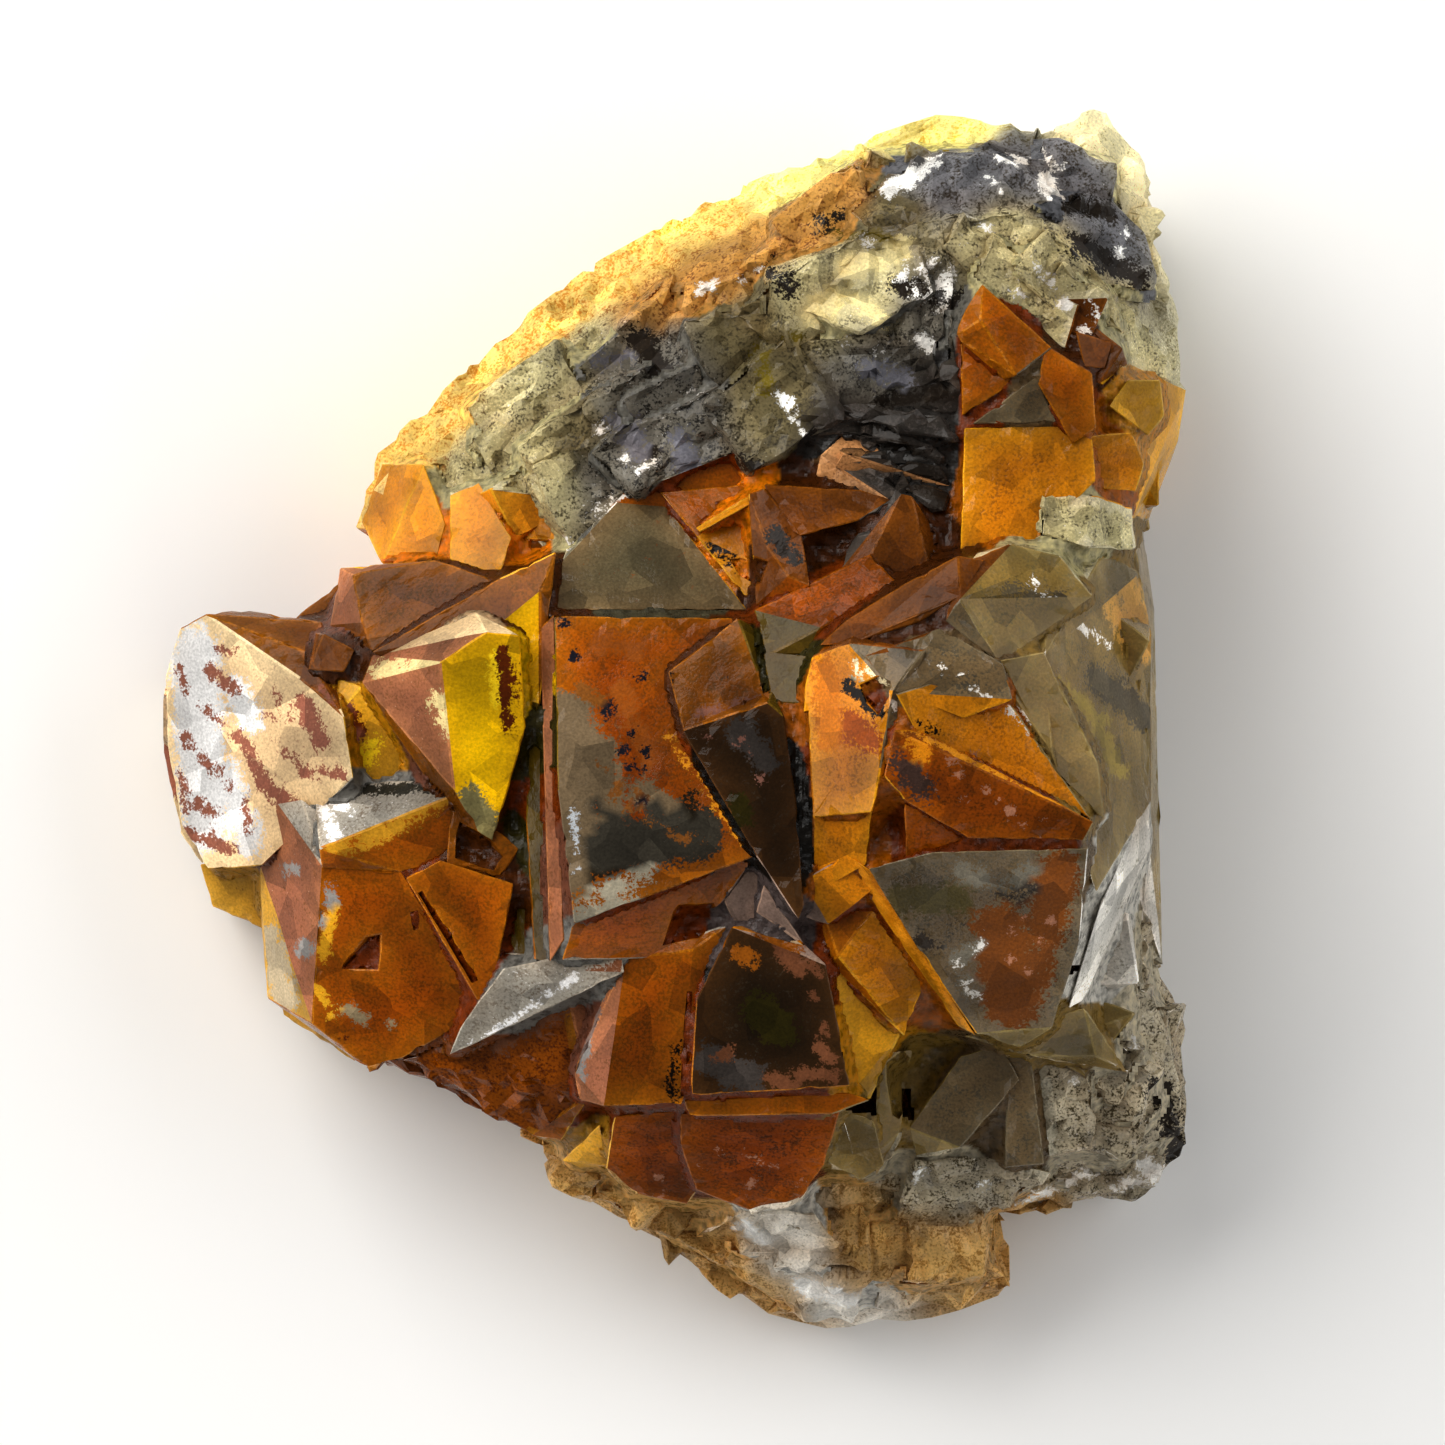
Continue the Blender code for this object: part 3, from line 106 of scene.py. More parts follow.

# tone and rim: colour of a face, and the painted glow and highlight along its edges; patch and share:
# colour and share of the ragged patches; then the colour and share of fine specks, the white ones on the
# mass and clear finishes being painted glints; rough and clear: roughness and transparency; soft: glow
# from within, stored but not used by the shader; broken: depth of cleavage in millimetres, none on a
# crystal
Finish = namedtuple("Finish", "tone rim patch share speck specks rough clear soft broken")
FINISHES = {
    "amber": Finish("8a3c00", "c47c10", "622a00", 0.44, "cf9466", 0.09, 0.12, 0.18, 0.2, 0),
    "bright_amber": Finish("b46602", "e8a820", "804004", 0.36, "e0a868", 0.12, 0.12, 0.18, 0.3, 0),
    "honey": Finish("d09414", "f0c040", "b06a10", 0.20, "f2d890", 0.10, 0.15, 0.25, 0.4, 0),
    "orange_glow": Finish("e88c04", "ffc030", "a85400", 0.30, "ffb040", 0.05, 0.18, 0.3, 0.5, 0),
    "lemon": Finish("e8bc00", "e0a810", "8a4a08", 0.03, "fff0a0", 0.06, 0.16, 0.10, 0.3, 0),
    "ochre": Finish("bc8c24", "d8a840", "8a5a18", 0.20, "d0b070", 0.10, 0.30, 0.15, 0.3, 0),
    "cream": Finish("c4a67e", "e8d4a8", "9a6450", 0.22, "f4ead4", 0.10, 0.34, 0.00, 0.3, 0),
    "pink_coat": Finish("84523c", "b87c50", "6e4426", 0.3, "d8b8a0", 0.20, 0.42, 0.00, 0.0, 0),
    # Painted sheen: grey faces with many white specks, where they mirror the light
    "silver_sheen": Finish("8c8880", "c8c0b0", "5c4a38", 0.36, "ffffff", 0.34, 0.26, 0.10, 0.0, 0),
    "rust": Finish("562c08", "8c5414", "3e1800", 0.40, "b06c34", 0.1, 0.18, 0.10, 0.1, 0),
    "brown": Finish("823a04", "a86008", "4c2000", 0.40, "b06030", 0.09, 0.13, 0.14, 0.1, 0),
    "dark_amber": Finish("5e3004", "a86810", "3c2404", 0.40, "b07830", 0.10, 0.12, 0.15, 0.1, 0),
    "olive_dark": Finish("40380c", "8a6c18", "241c06", 0.40, "8a7a40", 0.08, 0.10, 0.35, 0.0, 0),
    "smoky": Finish("5c5640", "a88a60", "8a4a1c", 0.14, "a0a090", 0.10, 0.10, 0.25, 0.0, 0),
    "black": Finish("140e06", "5c3c1c", "2c2820", 0.30, "906c50", 0.08, 0.07, 0.10, 0.0, 0),
    "violet_grey": Finish("6a5c58", "a08878", "453c40", 0.25, "b0a0b0", 0.10, 0.15, 0.10, 0.0, 0),
    "olive_glass": Finish("9a7c3a", "c8b070", "5a5030", 0.35, "e0d8b0", 0.12, 0.09, 0.50, 0.2, 0),
    "grey_glass": Finish("7c6442", "a09070", "34302a", 0.40, "e8e4dc", 0.12, 0.08, 0.45, 0.0, 0),
    "tan": Finish("a87c50", "c89868", "6e4420", 0.35, "d8b890", 0.15, 0.30, 0.05, 0.1, 0),
    "frosted": Finish("dedad0", "f0ece4", "8c8468", 0.30, "ffffff", 0.30, 0.40, 0.10, 0.2, 0),
    "grey_mass": Finish("827e74", "b0a890", "302d28", 0.4, "f4f4f0", 0.30, 0.12, 0.30, 0.0, 0.22),
    "layered": Finish("3c3834", "807870", "5a5450", 0.40, "a8a098", 0.15, 0.12, 0.10, 0.0, 0.4),
    "clear_glass": Finish("cfc4aa", "e0dcc8", "5c523c", 0.4, "ffffff", 0.30, 0.07, 0.35, 0.1, 0.3),
    "blue_grey": Finish("7c7c80", "c8ccd4", "443e38", 0.42, "ffffff", 0.20, 0.14, 0.25, 0.0, 0.28),
    "pale_lump": Finish("faf0c0", "fff8d8", "c8b878", 0.25, "ffffff", 0.15, 0.35, 0.15, 0.6, 0.25),
    "golden_rim": Finish("ffdc7c", "ffeeb0", "f0a63c", 0.42, "fff0c8", 0.15, 0.32, 0.15, 0.6, 0.2),
    "yellow_rim": Finish("fff498", "fff6a8", "ffdc58", 0.36, "ffffff", 0.15, 0.32, 0.15, 0.6, 0.2),
    "rusty_band": Finish("c8984e", "d8a050", "906030", 0.36, "e0a860", 0.15, 0.36, 0.10, 0.2, 0.2),
    "pale_gold": Finish("e6bc74", "f8e4ac", "b08440", 0.40, "f4e8c4", 0.20, 0.28, 0.35, 0.4, 0.28),
    "amber_mass": Finish("8c4a04", "d89828", "602c00", 0.42, "d09a68", 0.14, 0.14, 0.18, 0.2, 0.22),
    "olive_mass": Finish("877b58", "d8c890", "4e4630", 0.36, "f0e8c0", 0.14, 0.16, 0.30, 0.2, 0.2),
    "milky": Finish("ccc294", "f4ecd0", "6c6448", 0.36, "ffffff", 0.26, 0.20, 0.20, 0.2, 0.2),
    "white_frost": Finish("e8e4da", "fffaf0", "a89a80", 0.25, "ffffff", 0.30, 0.38, 0.10, 0.4, 0.25),
}
FINISH_NAMES = list(FINISHES)

# Points inside the faces that have each finish, or in the zone of the broken mass that has it
SPOTS_PX = {
    "cream": [(260, 740), (225, 800), (480, 628)],
    "dark_amber": [(715, 680), (262, 628), (400, 590), (520, 600), (500, 860), (470, 800), (460, 580)],
    "ochre": [(230, 890), (590, 1150), (275, 1000)],
    "amber": [
        (350, 1010), (380, 850), (455, 930), (640, 905), (650, 1040), (885, 980), (700, 505),
        (1000, 330), (985, 400), (1070, 400), (545, 800), (560, 1110), (420, 1000), (860, 930),
        (840, 740), (770, 1103), (620, 760),
    ],
    "pink_coat": [(292, 900), (410, 730), (345, 600), (590, 1050), (553, 860)],
    "silver_sheen": [(335, 805), (312, 815), (545, 1000), (600, 965), (360, 795)],
    "lemon": [(490, 700), (500, 640)],
    "honey": [(365, 740), (350, 715), (860, 1040), (1140, 410)],
    "rust": [(338, 655), (830, 497), (870, 610), (780, 540), (910, 560), (1090, 350), (940, 590), (880, 520)],
    "orange_glow": [(400, 530), (480, 530), (725, 520)],
    "olive_dark": [(535, 750), (525, 850), (890, 820), (790, 650)],
    "smoky": [(650, 570)],
    "brown": [(760, 1160), (645, 1160), (980, 790), (930, 838), (830, 600), (800, 620)],
    "black": [(750, 780), (770, 1030), (780, 850)],
    "violet_grey": [(775, 915)],
    "bright_amber": [
        (845, 850), (960, 720), (1000, 740), (920, 960), (850, 880), (820, 700), (890, 1000), (860, 790),
        (1010, 480), (1110, 440),
    ],
    "olive_glass": [
        (1030, 590), (1120, 700), (1060, 720), (1090, 630), (1060, 1040), (860, 1130), (1140, 620),
        (893, 1080), (895, 1100), (915, 1045), (930, 1065), (945, 1045),
    ],
    "grey_glass": [(950, 670), (1000, 930), (965, 1090), (1015, 1120), (1055, 1110), (1030, 405)],
    "tan": [(860, 460)],
    "frosted": [(1110, 920), (1098, 960)],
    "grey_mass": [(870, 370), (700, 400), (640, 440), (600, 470), (930, 300), (600, 360), (650, 360)],
    "olive_mass": [(575, 440), (750, 340), (760, 390), (900, 215)],
    "milky": [(830, 300), (870, 275), (1000, 260), (590, 350), (1060, 270), (1120, 320), (1065, 525),
        (520, 430), (480, 470), (550, 470), (545, 385)],
    "layered": [(900, 450), (880, 480), (860, 430), (930, 400)],
    "clear_glass": [
        (1150, 1040), (1130, 1180), (1090, 1120), (930, 1190),
    ],
    "blue_grey": [(940, 190), (1110, 220), (1040, 160), (1080, 190)],
    "pale_lump": [(1100, 150), (1130, 190)],
    "golden_rim": [
        (480, 392), (410, 440), (545, 325), (600, 278), (660, 250), (720, 212),
    ],
    "yellow_rim": [(775, 186), (850, 150), (930, 128)],
    "rusty_band": [(645, 300), (705, 275), (765, 240), (825, 208)],
    "pale_gold": [(600, 1185), (930, 1280), (700, 1240), (1000, 1250), (760, 1290), (860, 1240)],
    "white_frost": [(800, 1250), (850, 1315)],
    "amber_mass": [(480, 1085), (430, 1070), (530, 1120)],
}

# Patches painted on the face under their middle, or on all of the broken mass: tone, roughness, and
# strokes of the brush as start, end and half width, or dots as place and half width
Patch = namedtuple("Patch", "tone rough strokes")

# Windows and coats that cover much of a face, and patches of painted glare and painted shade
COATS_GLARE_AND_SHADE_PX = [
    # left blade, its coated side, ledge and yellow cube
    # Painted glare: a white highlight over the face of the left blade
    Patch("d6d4d2", 0.22, [
        (195, 650, 205, 830, 24), (235, 690, 250, 720, 14), (225, 770, 250, 840, 14)]),
    Patch("a8987c", 0.30, [(270, 940, 285, 1000, 14)]),
    Patch("c89428", 0.30, [(335, 850, 395, 825, 9), (395, 820, 445, 800, 6)]),
    Patch("8a8258", 0.20, [(470, 800, 490, 835, 16)]),
    Patch("84583e", 0.24, [(500, 1042, 560, 1008, 9), (590, 975, 620, 966, 6)]),
    Patch("dcc890", 0.30, [(380, 672, 470, 655, 9), (440, 700, 450, 730, 8)]),
    Patch("f4d020", 0.25, [(352, 770, 372, 745, 8), (500, 660, 500, 700, 10)]),
    # smoky cube: the grey window in its lower left, and its underside
    Patch("6c5c46", 0.09, [
        (572, 715, 572, 870, 26), (600, 750, 610, 810, 18), (640, 792, 670, 808, 14)]),
    Patch("38342c", 0.08, [
        (590, 850, 700, 835, 26), (650, 800, 690, 825, 14), (600, 800, 620, 830, 14), (715, 838, 6)]),
    Patch("8c4c12", 0.28, [(620, 690, 650, 760, 10), (600, 640, 640, 650, 8)]),
    Patch("241e14", 0.10, [(580, 880, 640, 858, 8), (690, 800, 700, 830, 8)]),
    Patch("a09a88", 0.16, [(580, 915, 625, 905, 12), (600, 895, 650, 872, 8)]),
    # black faces of the middle
    Patch("3e3834", 0.14, [(740, 730, 765, 760, 14), (710, 1060, 750, 1080, 16)]),
    Patch("2c2608", 0.14, [(735, 800, 745, 820, 8), (760, 1010, 780, 1030, 18)]),
    Patch("8a5010", 0.26, [(760, 940, 790, 945, 10), (740, 950, 750, 960, 8)]),
    Patch("7c6860", 0.40, [(595, 1010, 580, 1070, 10)]),
    # right boss: its left face, front and great face
    Patch("b86c0a", 0.22, [(825, 670, 830, 740, 12)]),
    Patch("904810", 0.30, [(850, 725, 870, 740, 14)]),
    Patch("4c3830", 0.30, [(905, 765, 925, 790, 12)]),
    Patch("d88c18", 0.26, [(915, 735, 920, 755, 9)]),
    Patch("7a4618", 0.36, [
        (1000, 930, 1010, 1000, 28), (1060, 870, 1045, 930, 20), (1040, 960, 1020, 1010, 16)]),
    Patch("787264", 0.16, [
        (960, 960, 985, 940, 10), (970, 980, 970, 990, 9), (960, 870, 985, 880, 9),
        (1010, 880, 1030, 870, 7)]),
    Patch("3c342c", 0.14, [(1005, 895, 1035, 890, 7), (920, 940, 935, 945, 6)]),
    Patch("5a5030", 0.18, [(900, 900, 960, 900, 14)]),
    # broken mass: milky, dark and bluish places
    Patch("d8cc98", 0.22, [
        (815, 312, 835, 300, 14), (850, 270, 900, 250, 13), (860, 302, 880, 320, 8)]),
    Patch("2c2620", 0.10, [
        (640, 340, 660, 370, 14), (770, 270, 790, 290, 8), (820, 225, 840, 215, 6),
        (880, 400, 940, 392, 8), (900, 450, 950, 500, 12), (1070, 205, 1110, 212, 10),
        (1080, 245, 1140, 280, 11), (650, 450, 660, 470, 5), (730, 462, 760, 470, 8),
        (900, 285, 955, 300, 12), (1160, 1090, 1175, 1150, 12)]),
    Patch("74747c", 0.12, [
        (622, 422, 640, 450, 13), (682, 440, 690, 470, 11), (640, 352, 600, 362, 7), (870, 370, 905, 380, 9)]),
    Patch("7a6c28", 0.16, [(762, 350, 765, 390, 6), (840, 232, 890, 240, 6), (795, 335, 6)]),
    # painted shade in the hollows among the crystals of the upper centre
    Patch("28221e", 0.12, [(775, 535, 795, 560, 9), (838, 532, 850, 560, 8), (715, 545, 735, 560, 8)]),
    # clear flank of the right boss
    Patch("c89a4c", 0.24, [(1125, 575, 1145, 650, 12), (1110, 600, 1130, 640, 10)]),
    Patch("94803c", 0.20, [(1050, 680, 1100, 720, 9), (1100, 730, 1120, 770, 8)]),
    Patch("564c38", 0.12, [(1100, 680, 1150, 720, 14), (1010, 590, 1060, 600, 8)]),
]

# Flakes, spots and glints on top of them
FLAKES_AND_GLINTS_PX = [
    # left blade and its coated side
    Patch("8e5844", 0.42, [
        (212, 670, 234, 692, 6), (204, 704, 232, 736, 3), (238, 735, 268, 785, 6),
        (163, 700, 172, 790, 8), (200, 755, 214, 772, 5), (302, 702, 322, 742, 9),
        (262, 716, 292, 718, 3), (305, 772, 342, 776, 5), (262, 785, 300, 812, 8),
        (198, 803, 216, 812, 5), (186, 832, 230, 850, 6), (345, 703, 356, 735, 8),
        (178, 668, 186, 690, 3), (218, 648, 236, 652, 3), (185, 735, 192, 748, 4), (222, 765, 230, 790, 3),
        (182, 770, 186, 812, 3), (246, 800, 250, 830, 4), (210, 830, 3), (286, 752, 296, 760, 4),
        (322, 690, 330, 700, 4), (275, 690, 282, 705, 3)]),
    Patch("94908c", 0.34, [
        (290, 870, 9), (305, 948, 9), (330, 890, 334, 905, 6), (324, 920, 6), (585, 1040, 580, 1075, 6)]),
    Patch("e0a828", 0.24, [(322, 960, 335, 905, 5), (318, 985, 330, 1015, 4)]),
    Patch("8c7c60", 0.30, [(352, 1010, 362, 1018, 8), (390, 1022, 5)]),
    # Painted glints: white highlights on the sheen faces of the left, and a thin line of them lower down
    Patch("fafafa", 0.20, [(318, 800, 335, 835, 6), (335, 800, 350, 812, 4), (470, 1050, 578, 975, 3)]),
    Patch("34322a", 0.20, [(360, 790, 440, 785, 6)]),
    Patch("5e2804", 0.34, [
        (503, 650, 508, 730, 6), (514, 664, 520, 700, 3), (350, 712, 360, 735, 7), (345, 1035, 4)]),
    # smoky cube
    Patch("7c4c18", 0.36, [
        (608, 772, 4), (618, 786, 6), (612, 800, 4), (628, 808, 5), (640, 815, 4), (652, 824, 5), (668, 832, 4),
        (682, 840, 6), (700, 836, 5), (636, 790, 4), (650, 800, 3), (598, 762, 4), (580, 690, 600, 700, 7)]),
    Patch("181820", 0.20, [
        (563, 624, 5), (576, 657, 6), (600, 702, 612, 706, 5), (606, 714, 4), (632, 731, 5), (624, 751, 6),
        (645, 751, 5), (628, 766, 642, 770, 4), (642, 803, 5), (670, 677, 5), (640, 676, 6), (730, 674, 4)]),
    Patch("b8bcc0", 0.16, [(572, 812, 578, 850, 3), (576, 868, 3)]),
    Patch("d89420", 0.26, [(668, 735, 745, 845, 3), (900, 725, 1090, 820, 3), (850, 858, 975, 1035, 3)]),
    # black faces of the middle
    Patch("80584a", 0.36, [
        (708, 738, 4), (742, 740, 5), (761, 778, 5), (752, 757, 3), (700, 713, 760, 701, 4)]),
    Patch("6c442c", 0.36, [
        (780, 945, 800, 970, 8), (797, 970, 5), (812, 960, 818, 975, 4), (813, 996, 5), (825, 1032, 7),
        (820, 1045, 830, 1060, 7), (800, 1075, 835, 1075, 7), (770, 1080, 790, 1085, 8), (715, 1060, 735, 1050, 5)]),
    Patch("140c04", 0.16, [
        (688, 990, 688, 1010, 3), (680, 1040, 674, 1075, 4), (672, 1080, 676, 1100, 4), (850, 690, 880, 710, 7),
        (848, 682, 4), (934, 732, 5), (920, 725, 3)]),
    # pink specks low on the cluster and on the right boss
    Patch("b07c60", 0.40, [
        (718, 1150, 3), (745, 1152, 3), (752, 1180, 3), (762, 1162, 3), (700, 1165, 3), (658, 1178, 3),
        (662, 1195, 4), (745, 1195, 3), (800, 1182, 3), (775, 1166, 3), (690, 1180, 3), (925, 775, 3),
        (937, 790, 3), (950, 760, 3), (960, 775, 4), (975, 755, 3), (985, 790, 4), (1000, 801, 3),
        (1010, 811, 4), (1020, 825, 3), (1035, 835, 3), (1045, 820, 3), (965, 800, 3), (990, 770, 3),
        (1015, 930, 4), (1025, 915, 3), (1040, 940, 4), (1010, 960, 3), (1030, 970, 4), (1050, 920, 3)]),
    # glints of the broken mass
    Patch("fafaf6", 0.08, [
        (888, 190, 915, 172, 9), (925, 165, 935, 160, 6), (780, 395, 790, 405, 5), (790, 410, 805, 435, 3),
        (860, 238, 870, 245, 4), (742, 280, 760, 270, 4), (905, 262, 915, 300, 2), (918, 258, 932, 292, 2),
        (895, 278, 935, 262, 2), (872, 345, 880, 352, 3), (690, 398, 700, 392, 3), (640, 470, 652, 462, 3),
        (1015, 285, 1022, 300, 3), (1090, 300, 1098, 318, 3), (985, 175, 1000, 190, 3), (840, 335, 846, 345, 3), (700, 290, 715, 285, 5), (925, 300, 950, 270, 3),
        (940, 312, 955, 280, 3), (920, 340, 940, 350, 6), (986, 228, 6), (600, 430, 4), (625, 457, 4),
        (598, 512, 612, 504, 5), (562, 545, 8), (621, 496, 4), (1035, 265, 1055, 285, 3), (1065, 305, 8),
        (1086, 332, 6), (1120, 252, 5), (1125, 232, 4), (1000, 155, 1020, 160, 5), (1045, 180, 1055, 195, 8),
        (1040, 150, 1060, 170, 4), (1110, 985, 1120, 1000, 7), (1145, 1165, 1155, 1175, 9),
        (740, 1225, 770, 1240, 6), (800, 1285, 850, 1300, 8), (1060, 1190, 1110, 1160, 4),
        (1112, 1188, 1140, 1180, 4), (1020, 1200, 1050, 1192, 4), (1095, 1010, 1100, 1040, 4),
        (1128, 1015, 1136, 1050, 3), (985, 1185, 5), (1070, 1080, 1080, 1074, 3), (915, 1180, 925, 1172, 3)]),
    # glints of the crystals
    Patch("f4ecc8", 0.12, [(855, 665, 862, 675, 4), (882, 685, 5), (870, 668, 874, 686, 4), (845, 1060, 850, 1085, 3)]),
    Patch("f0ece4", 0.16, [
        (958, 965, 4), (975, 948, 985, 940, 4), (968, 985, 975, 995, 5), (1030, 580, 1060, 610, 3),
        (1060, 615, 1110, 645, 2), (1000, 700, 1040, 740, 3), (1015, 708, 1035, 722, 3),
        (905, 662, 925, 668, 2), (940, 668, 965, 675, 2), (975, 690, 990, 700, 2), (888, 700, 900, 708, 2)]),
]

# Studio light: place, width, power and tint of each lamp
LAMPS = {
    "key": ((-0.42, 0.42, 0.46), 0.65, 5.6, (1.0, 0.985, 0.96)),
    "side": ((-0.55, 0.00, 0.16), 0.30, 0.8, (1.0, 1.0, 1.0)),
    "right": ((0.55, 0.15, 0.34), 0.60, 1.9, (0.97, 0.985, 1.0)),
    "front": ((0.20, -0.60, 0.25), 0.35, 0.5, (1.0, 1.0, 1.0)),
}
SKY_LIGHT = 0.24
FLOOR_TONE = (0.90, 0.895, 0.885, 1.0)
FLOOR_SIDE = 3.0

# Warm dark colour of the painted shade in the crevices
CREVICE_SHADE_TINT = (0.50, 0.34, 0.20, 1.0)
FLUORITE_IOR = 1.434
DEPTH_TINT = (0.80, 0.62, 0.22, 1.0)
DEPTH_DENSITY = 190.0


def linear(code):
    """A colour given as six hex digits, in linear light."""
    parts = [int(code[i:i + 2], 16) / 255 for i in (0, 2, 4)]
    return [p / 12.92 if p <= 0.04045 else ((p + 0.055) / 1.055) ** 2.4 for p in parts]


def sight(px, py):
    """The direction from the camera to a point of the picture."""
    half = PICTURE_PX / 2
    scale = MM / PX_PER_MM
    return Vector(((px - half) * scale, (half - py) * scale, -CAMERA_RISE)).normalized()


def picture_points(points):
    """Where the camera sees each row of an array of points, in pixels of the picture."""
    away = points - np.array(CAMERA_PLACE)
    scale = CAMERA_RISE / -away[:, 2] * PX_PER_MM / MM
    half = PICTURE_PX / 2
    return np.stack((half + away[:, 0] * scale, half - away[:, 1] * scale), axis=1)


def skin_of(node):
    """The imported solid's skin, its coplanar triangles joined into flat faces."""
    skin = bmesh.new()
    skin.from_mesh(node.data)
    skin.transform(node.matrix_world)
    bmesh.ops.remove_doubles(skin, verts=skin.verts, dist=0.0005 * MM)
    bmesh.ops.dissolve_limit(
        skin, angle_limit=math.radians(0.4), verts=skin.verts, edges=skin.edges,
    )
    return skin


def number_faces(skin):
    """Number the crystal faces: pieces that meet at almost no angle are one face."""
    number = skin.faces.layers.int.new("number")
    for face in skin.faces:
        face[number] = -1
    count = 0
    for first in skin.faces:
        if first[number] >= 0:
            continue
        first[number] = count
        front = [first]
        while front:
            face = front.pop()
            for edge in face.edges:
                for other in edge.link_faces:
                    if other[number] < 0 and other.normal.angle(face.normal, math.pi) < SAME_FACE:
                        other[number] = count
                        front.append(other)
        count += 1
    return count


def choose_finishes(skin, count):
    """The finish of each numbered face, and the spots of the broken mass with theirs."""
    number = skin.faces.layers.int["number"]
    tree = BVHTree.FromBMesh(skin)
    skin.faces.ensure_lookup_table()
    chosen = [None] * count
    spots = []
    for name, points in SPOTS_PX.items():
        for px, py in points:
            place, normal, index, distance = tree.ray_cast(CAMERA_PLACE, sight(px, py))
            if index is not None:
                chosen[skin.faces[index][number]] = name
                spots.append((place, name))
    near = KDTree(len(spots))
    for i, (place, name) in enumerate(spots):
        near.insert(place, i)
    near.balance()
    middles = [Vector() for i in range(count)]
    areas = [1e-12] * count
    for face in skin.faces:
        area = face.calc_area()
        middles[face[number]] += face.calc_center_median() * area
        areas[face[number]] += area
    middles = [middle / area for middle, area in zip(middles, areas)]
    for i in range(count):
        if chosen[i] is None:
            chosen[i] = spots[near.find(middles[i])[1]][1]
    return chosen, spots, np.array(middles), np.sqrt(np.array(areas) / math.pi)


def brushed(skin, patches):
    """Each stroke of the patches, with the number of the face that it is painted on."""
    number = skin.faces.layers.int["number"]
    tree = BVHTree.FromBMesh(skin)
    skin.faces.ensure_lookup_table()
    strokes = []
    for patch in patches:
        for stroke in patch.strokes:
            if len(stroke) == 3:
                stroke = stroke[:2] + stroke
            x0, y0, x1, y1, half_width = stroke
            index = tree.ray_cast(CAMERA_PLACE, sight((x0 + x1) / 2, (y0 + y1) / 2))[2]
            if index is not None:
                strokes.append((patch, stroke, skin.faces[index][number]))
    return strokes


def edge_samples(skin, convex):
    """Points along the sharp edges, outward or inward ones."""
    points = []
    for edge in skin.edges:
        if len(edge.link_faces) != 2 or edge.is_convex != convex:
            continue
        if edge.calc_face_angle(0.0) < SHARP or min(f.calc_area() for f in edge.link_faces) < 0.2 * MM ** 2:
            continue
        start, end = (v.co for v in edge.verts)
        steps = max(1, int((end - start).length / (0.2 * MM)))
        points += [start.lerp(end, (i + 0.5) / steps) for i in range(steps)]
    tree = KDTree(len(points))
    for i, point in enumerate(points):
        tree.insert(point, i)
    tree.balance()
    return tree


def blunt_edges(skin):
    """Cut a narrow flat along the long outward edges of the crystals."""
    edges = []
    for edge in skin.edges:
        if len(edge.link_faces) != 2 or not edge.is_convex or edge.calc_length() < 0.8 * MM:
            continue
        if edge.calc_face_angle(0.0) < SHARP or min(v.co.z for v in edge.verts) < 0.5 * MM:
            continue
        if min(face.calc_area() for face in edge.link_faces) > 0.35 * MM ** 2:
            edges.append(edge)
    blunt = skin.faces.layers.int.new("blunt")
    made = bmesh.ops.bevel(
        skin, geom=edges, offset=BLUNTING, offset_type="OFFSET", segments=1, profile=0.5,
        affect="EDGES", clamp_overlap=False, material=-1,
    )
    for face in made["faces"]:
        face[blunt] = 1


def divide(skin):
    """Cut the faces into triangles small enough to carry relief."""
    bmesh.ops.triangulate(skin, faces=skin.faces, ngon_method="BEAUTY")
    for i in range(HALVINGS):
        too_long = []
        for edge in skin.edges:
            middle = (edge.verts[0].co + edge.verts[1].co) / 2
            seen = middle.z > SEEN_ABOVE and max(f.normal.z for f in edge.link_faces) > 0.05
            if edge.calc_length() > (SEEN_EDGE if seen else UNSEEN_EDGE):
                too_long.append(edge)
        bmesh.ops.subdivide_edges(skin, edges=too_long, cuts=1)
        bmesh.ops.triangulate(skin, faces=[face for face in skin.faces if len(face.verts) > 3])


def zone_weights(points, spots):
    """How much of each broken finish is at each point, rows summing to one."""
    names = [name for name, finish in FINISHES.items() if finish.broken]
    weights = np.zeros((len(points), len(names)))
    for place, name in spots:
        if name in names:
            away = np.linalg.norm(points - np.array(place), axis=1) / MM
            weights[:, names.index(name)] += np.exp(-(away / 1.6)) / (away + 0.3)
    weights = weights ** 2
    weights /= np.maximum(weights.sum(axis=1, keepdims=True), 1e-30)
    return weights, names


def cleavage_relief(points, normals, depth):
    """Move each point onto the small cleavage plane that it belongs to."""
    rng = random.Random(SEED)
    cells = {}
    moved = points.copy()
    for i in np.nonzero(depth > 0)[0]:
        point = Vector(points[i])
        warp = noise.noise_vector(point / (2.0 * CLEAVAGE_PITCH)) * 0.5
        distances, seeds = noise.voronoi(point / CLEAVAGE_PITCH + warp)
        key = tuple(round(c, 3) for c in seeds[0])
        if key not in cells:
            lean = rng.choice(CLEAVAGE_LEANS)
            steep = rng.uniform(0.5, 1.2)
            cells[key] = (lean[0] * steep, lean[1] * steep, rng.uniform(-0.35, 0.35))
        lean_x, lean_y, rise = cells[key]
        centre = (Vector(seeds[0]) - warp) * CLEAVAGE_PITCH
        off = point - centre
        height = lean_x * off.x + lean_y * off.y + rise * MM
        reach = depth[i] * MM
        moved[i] = point + Vector(normals[i]) * max(-reach, min(reach, height))
    return moved


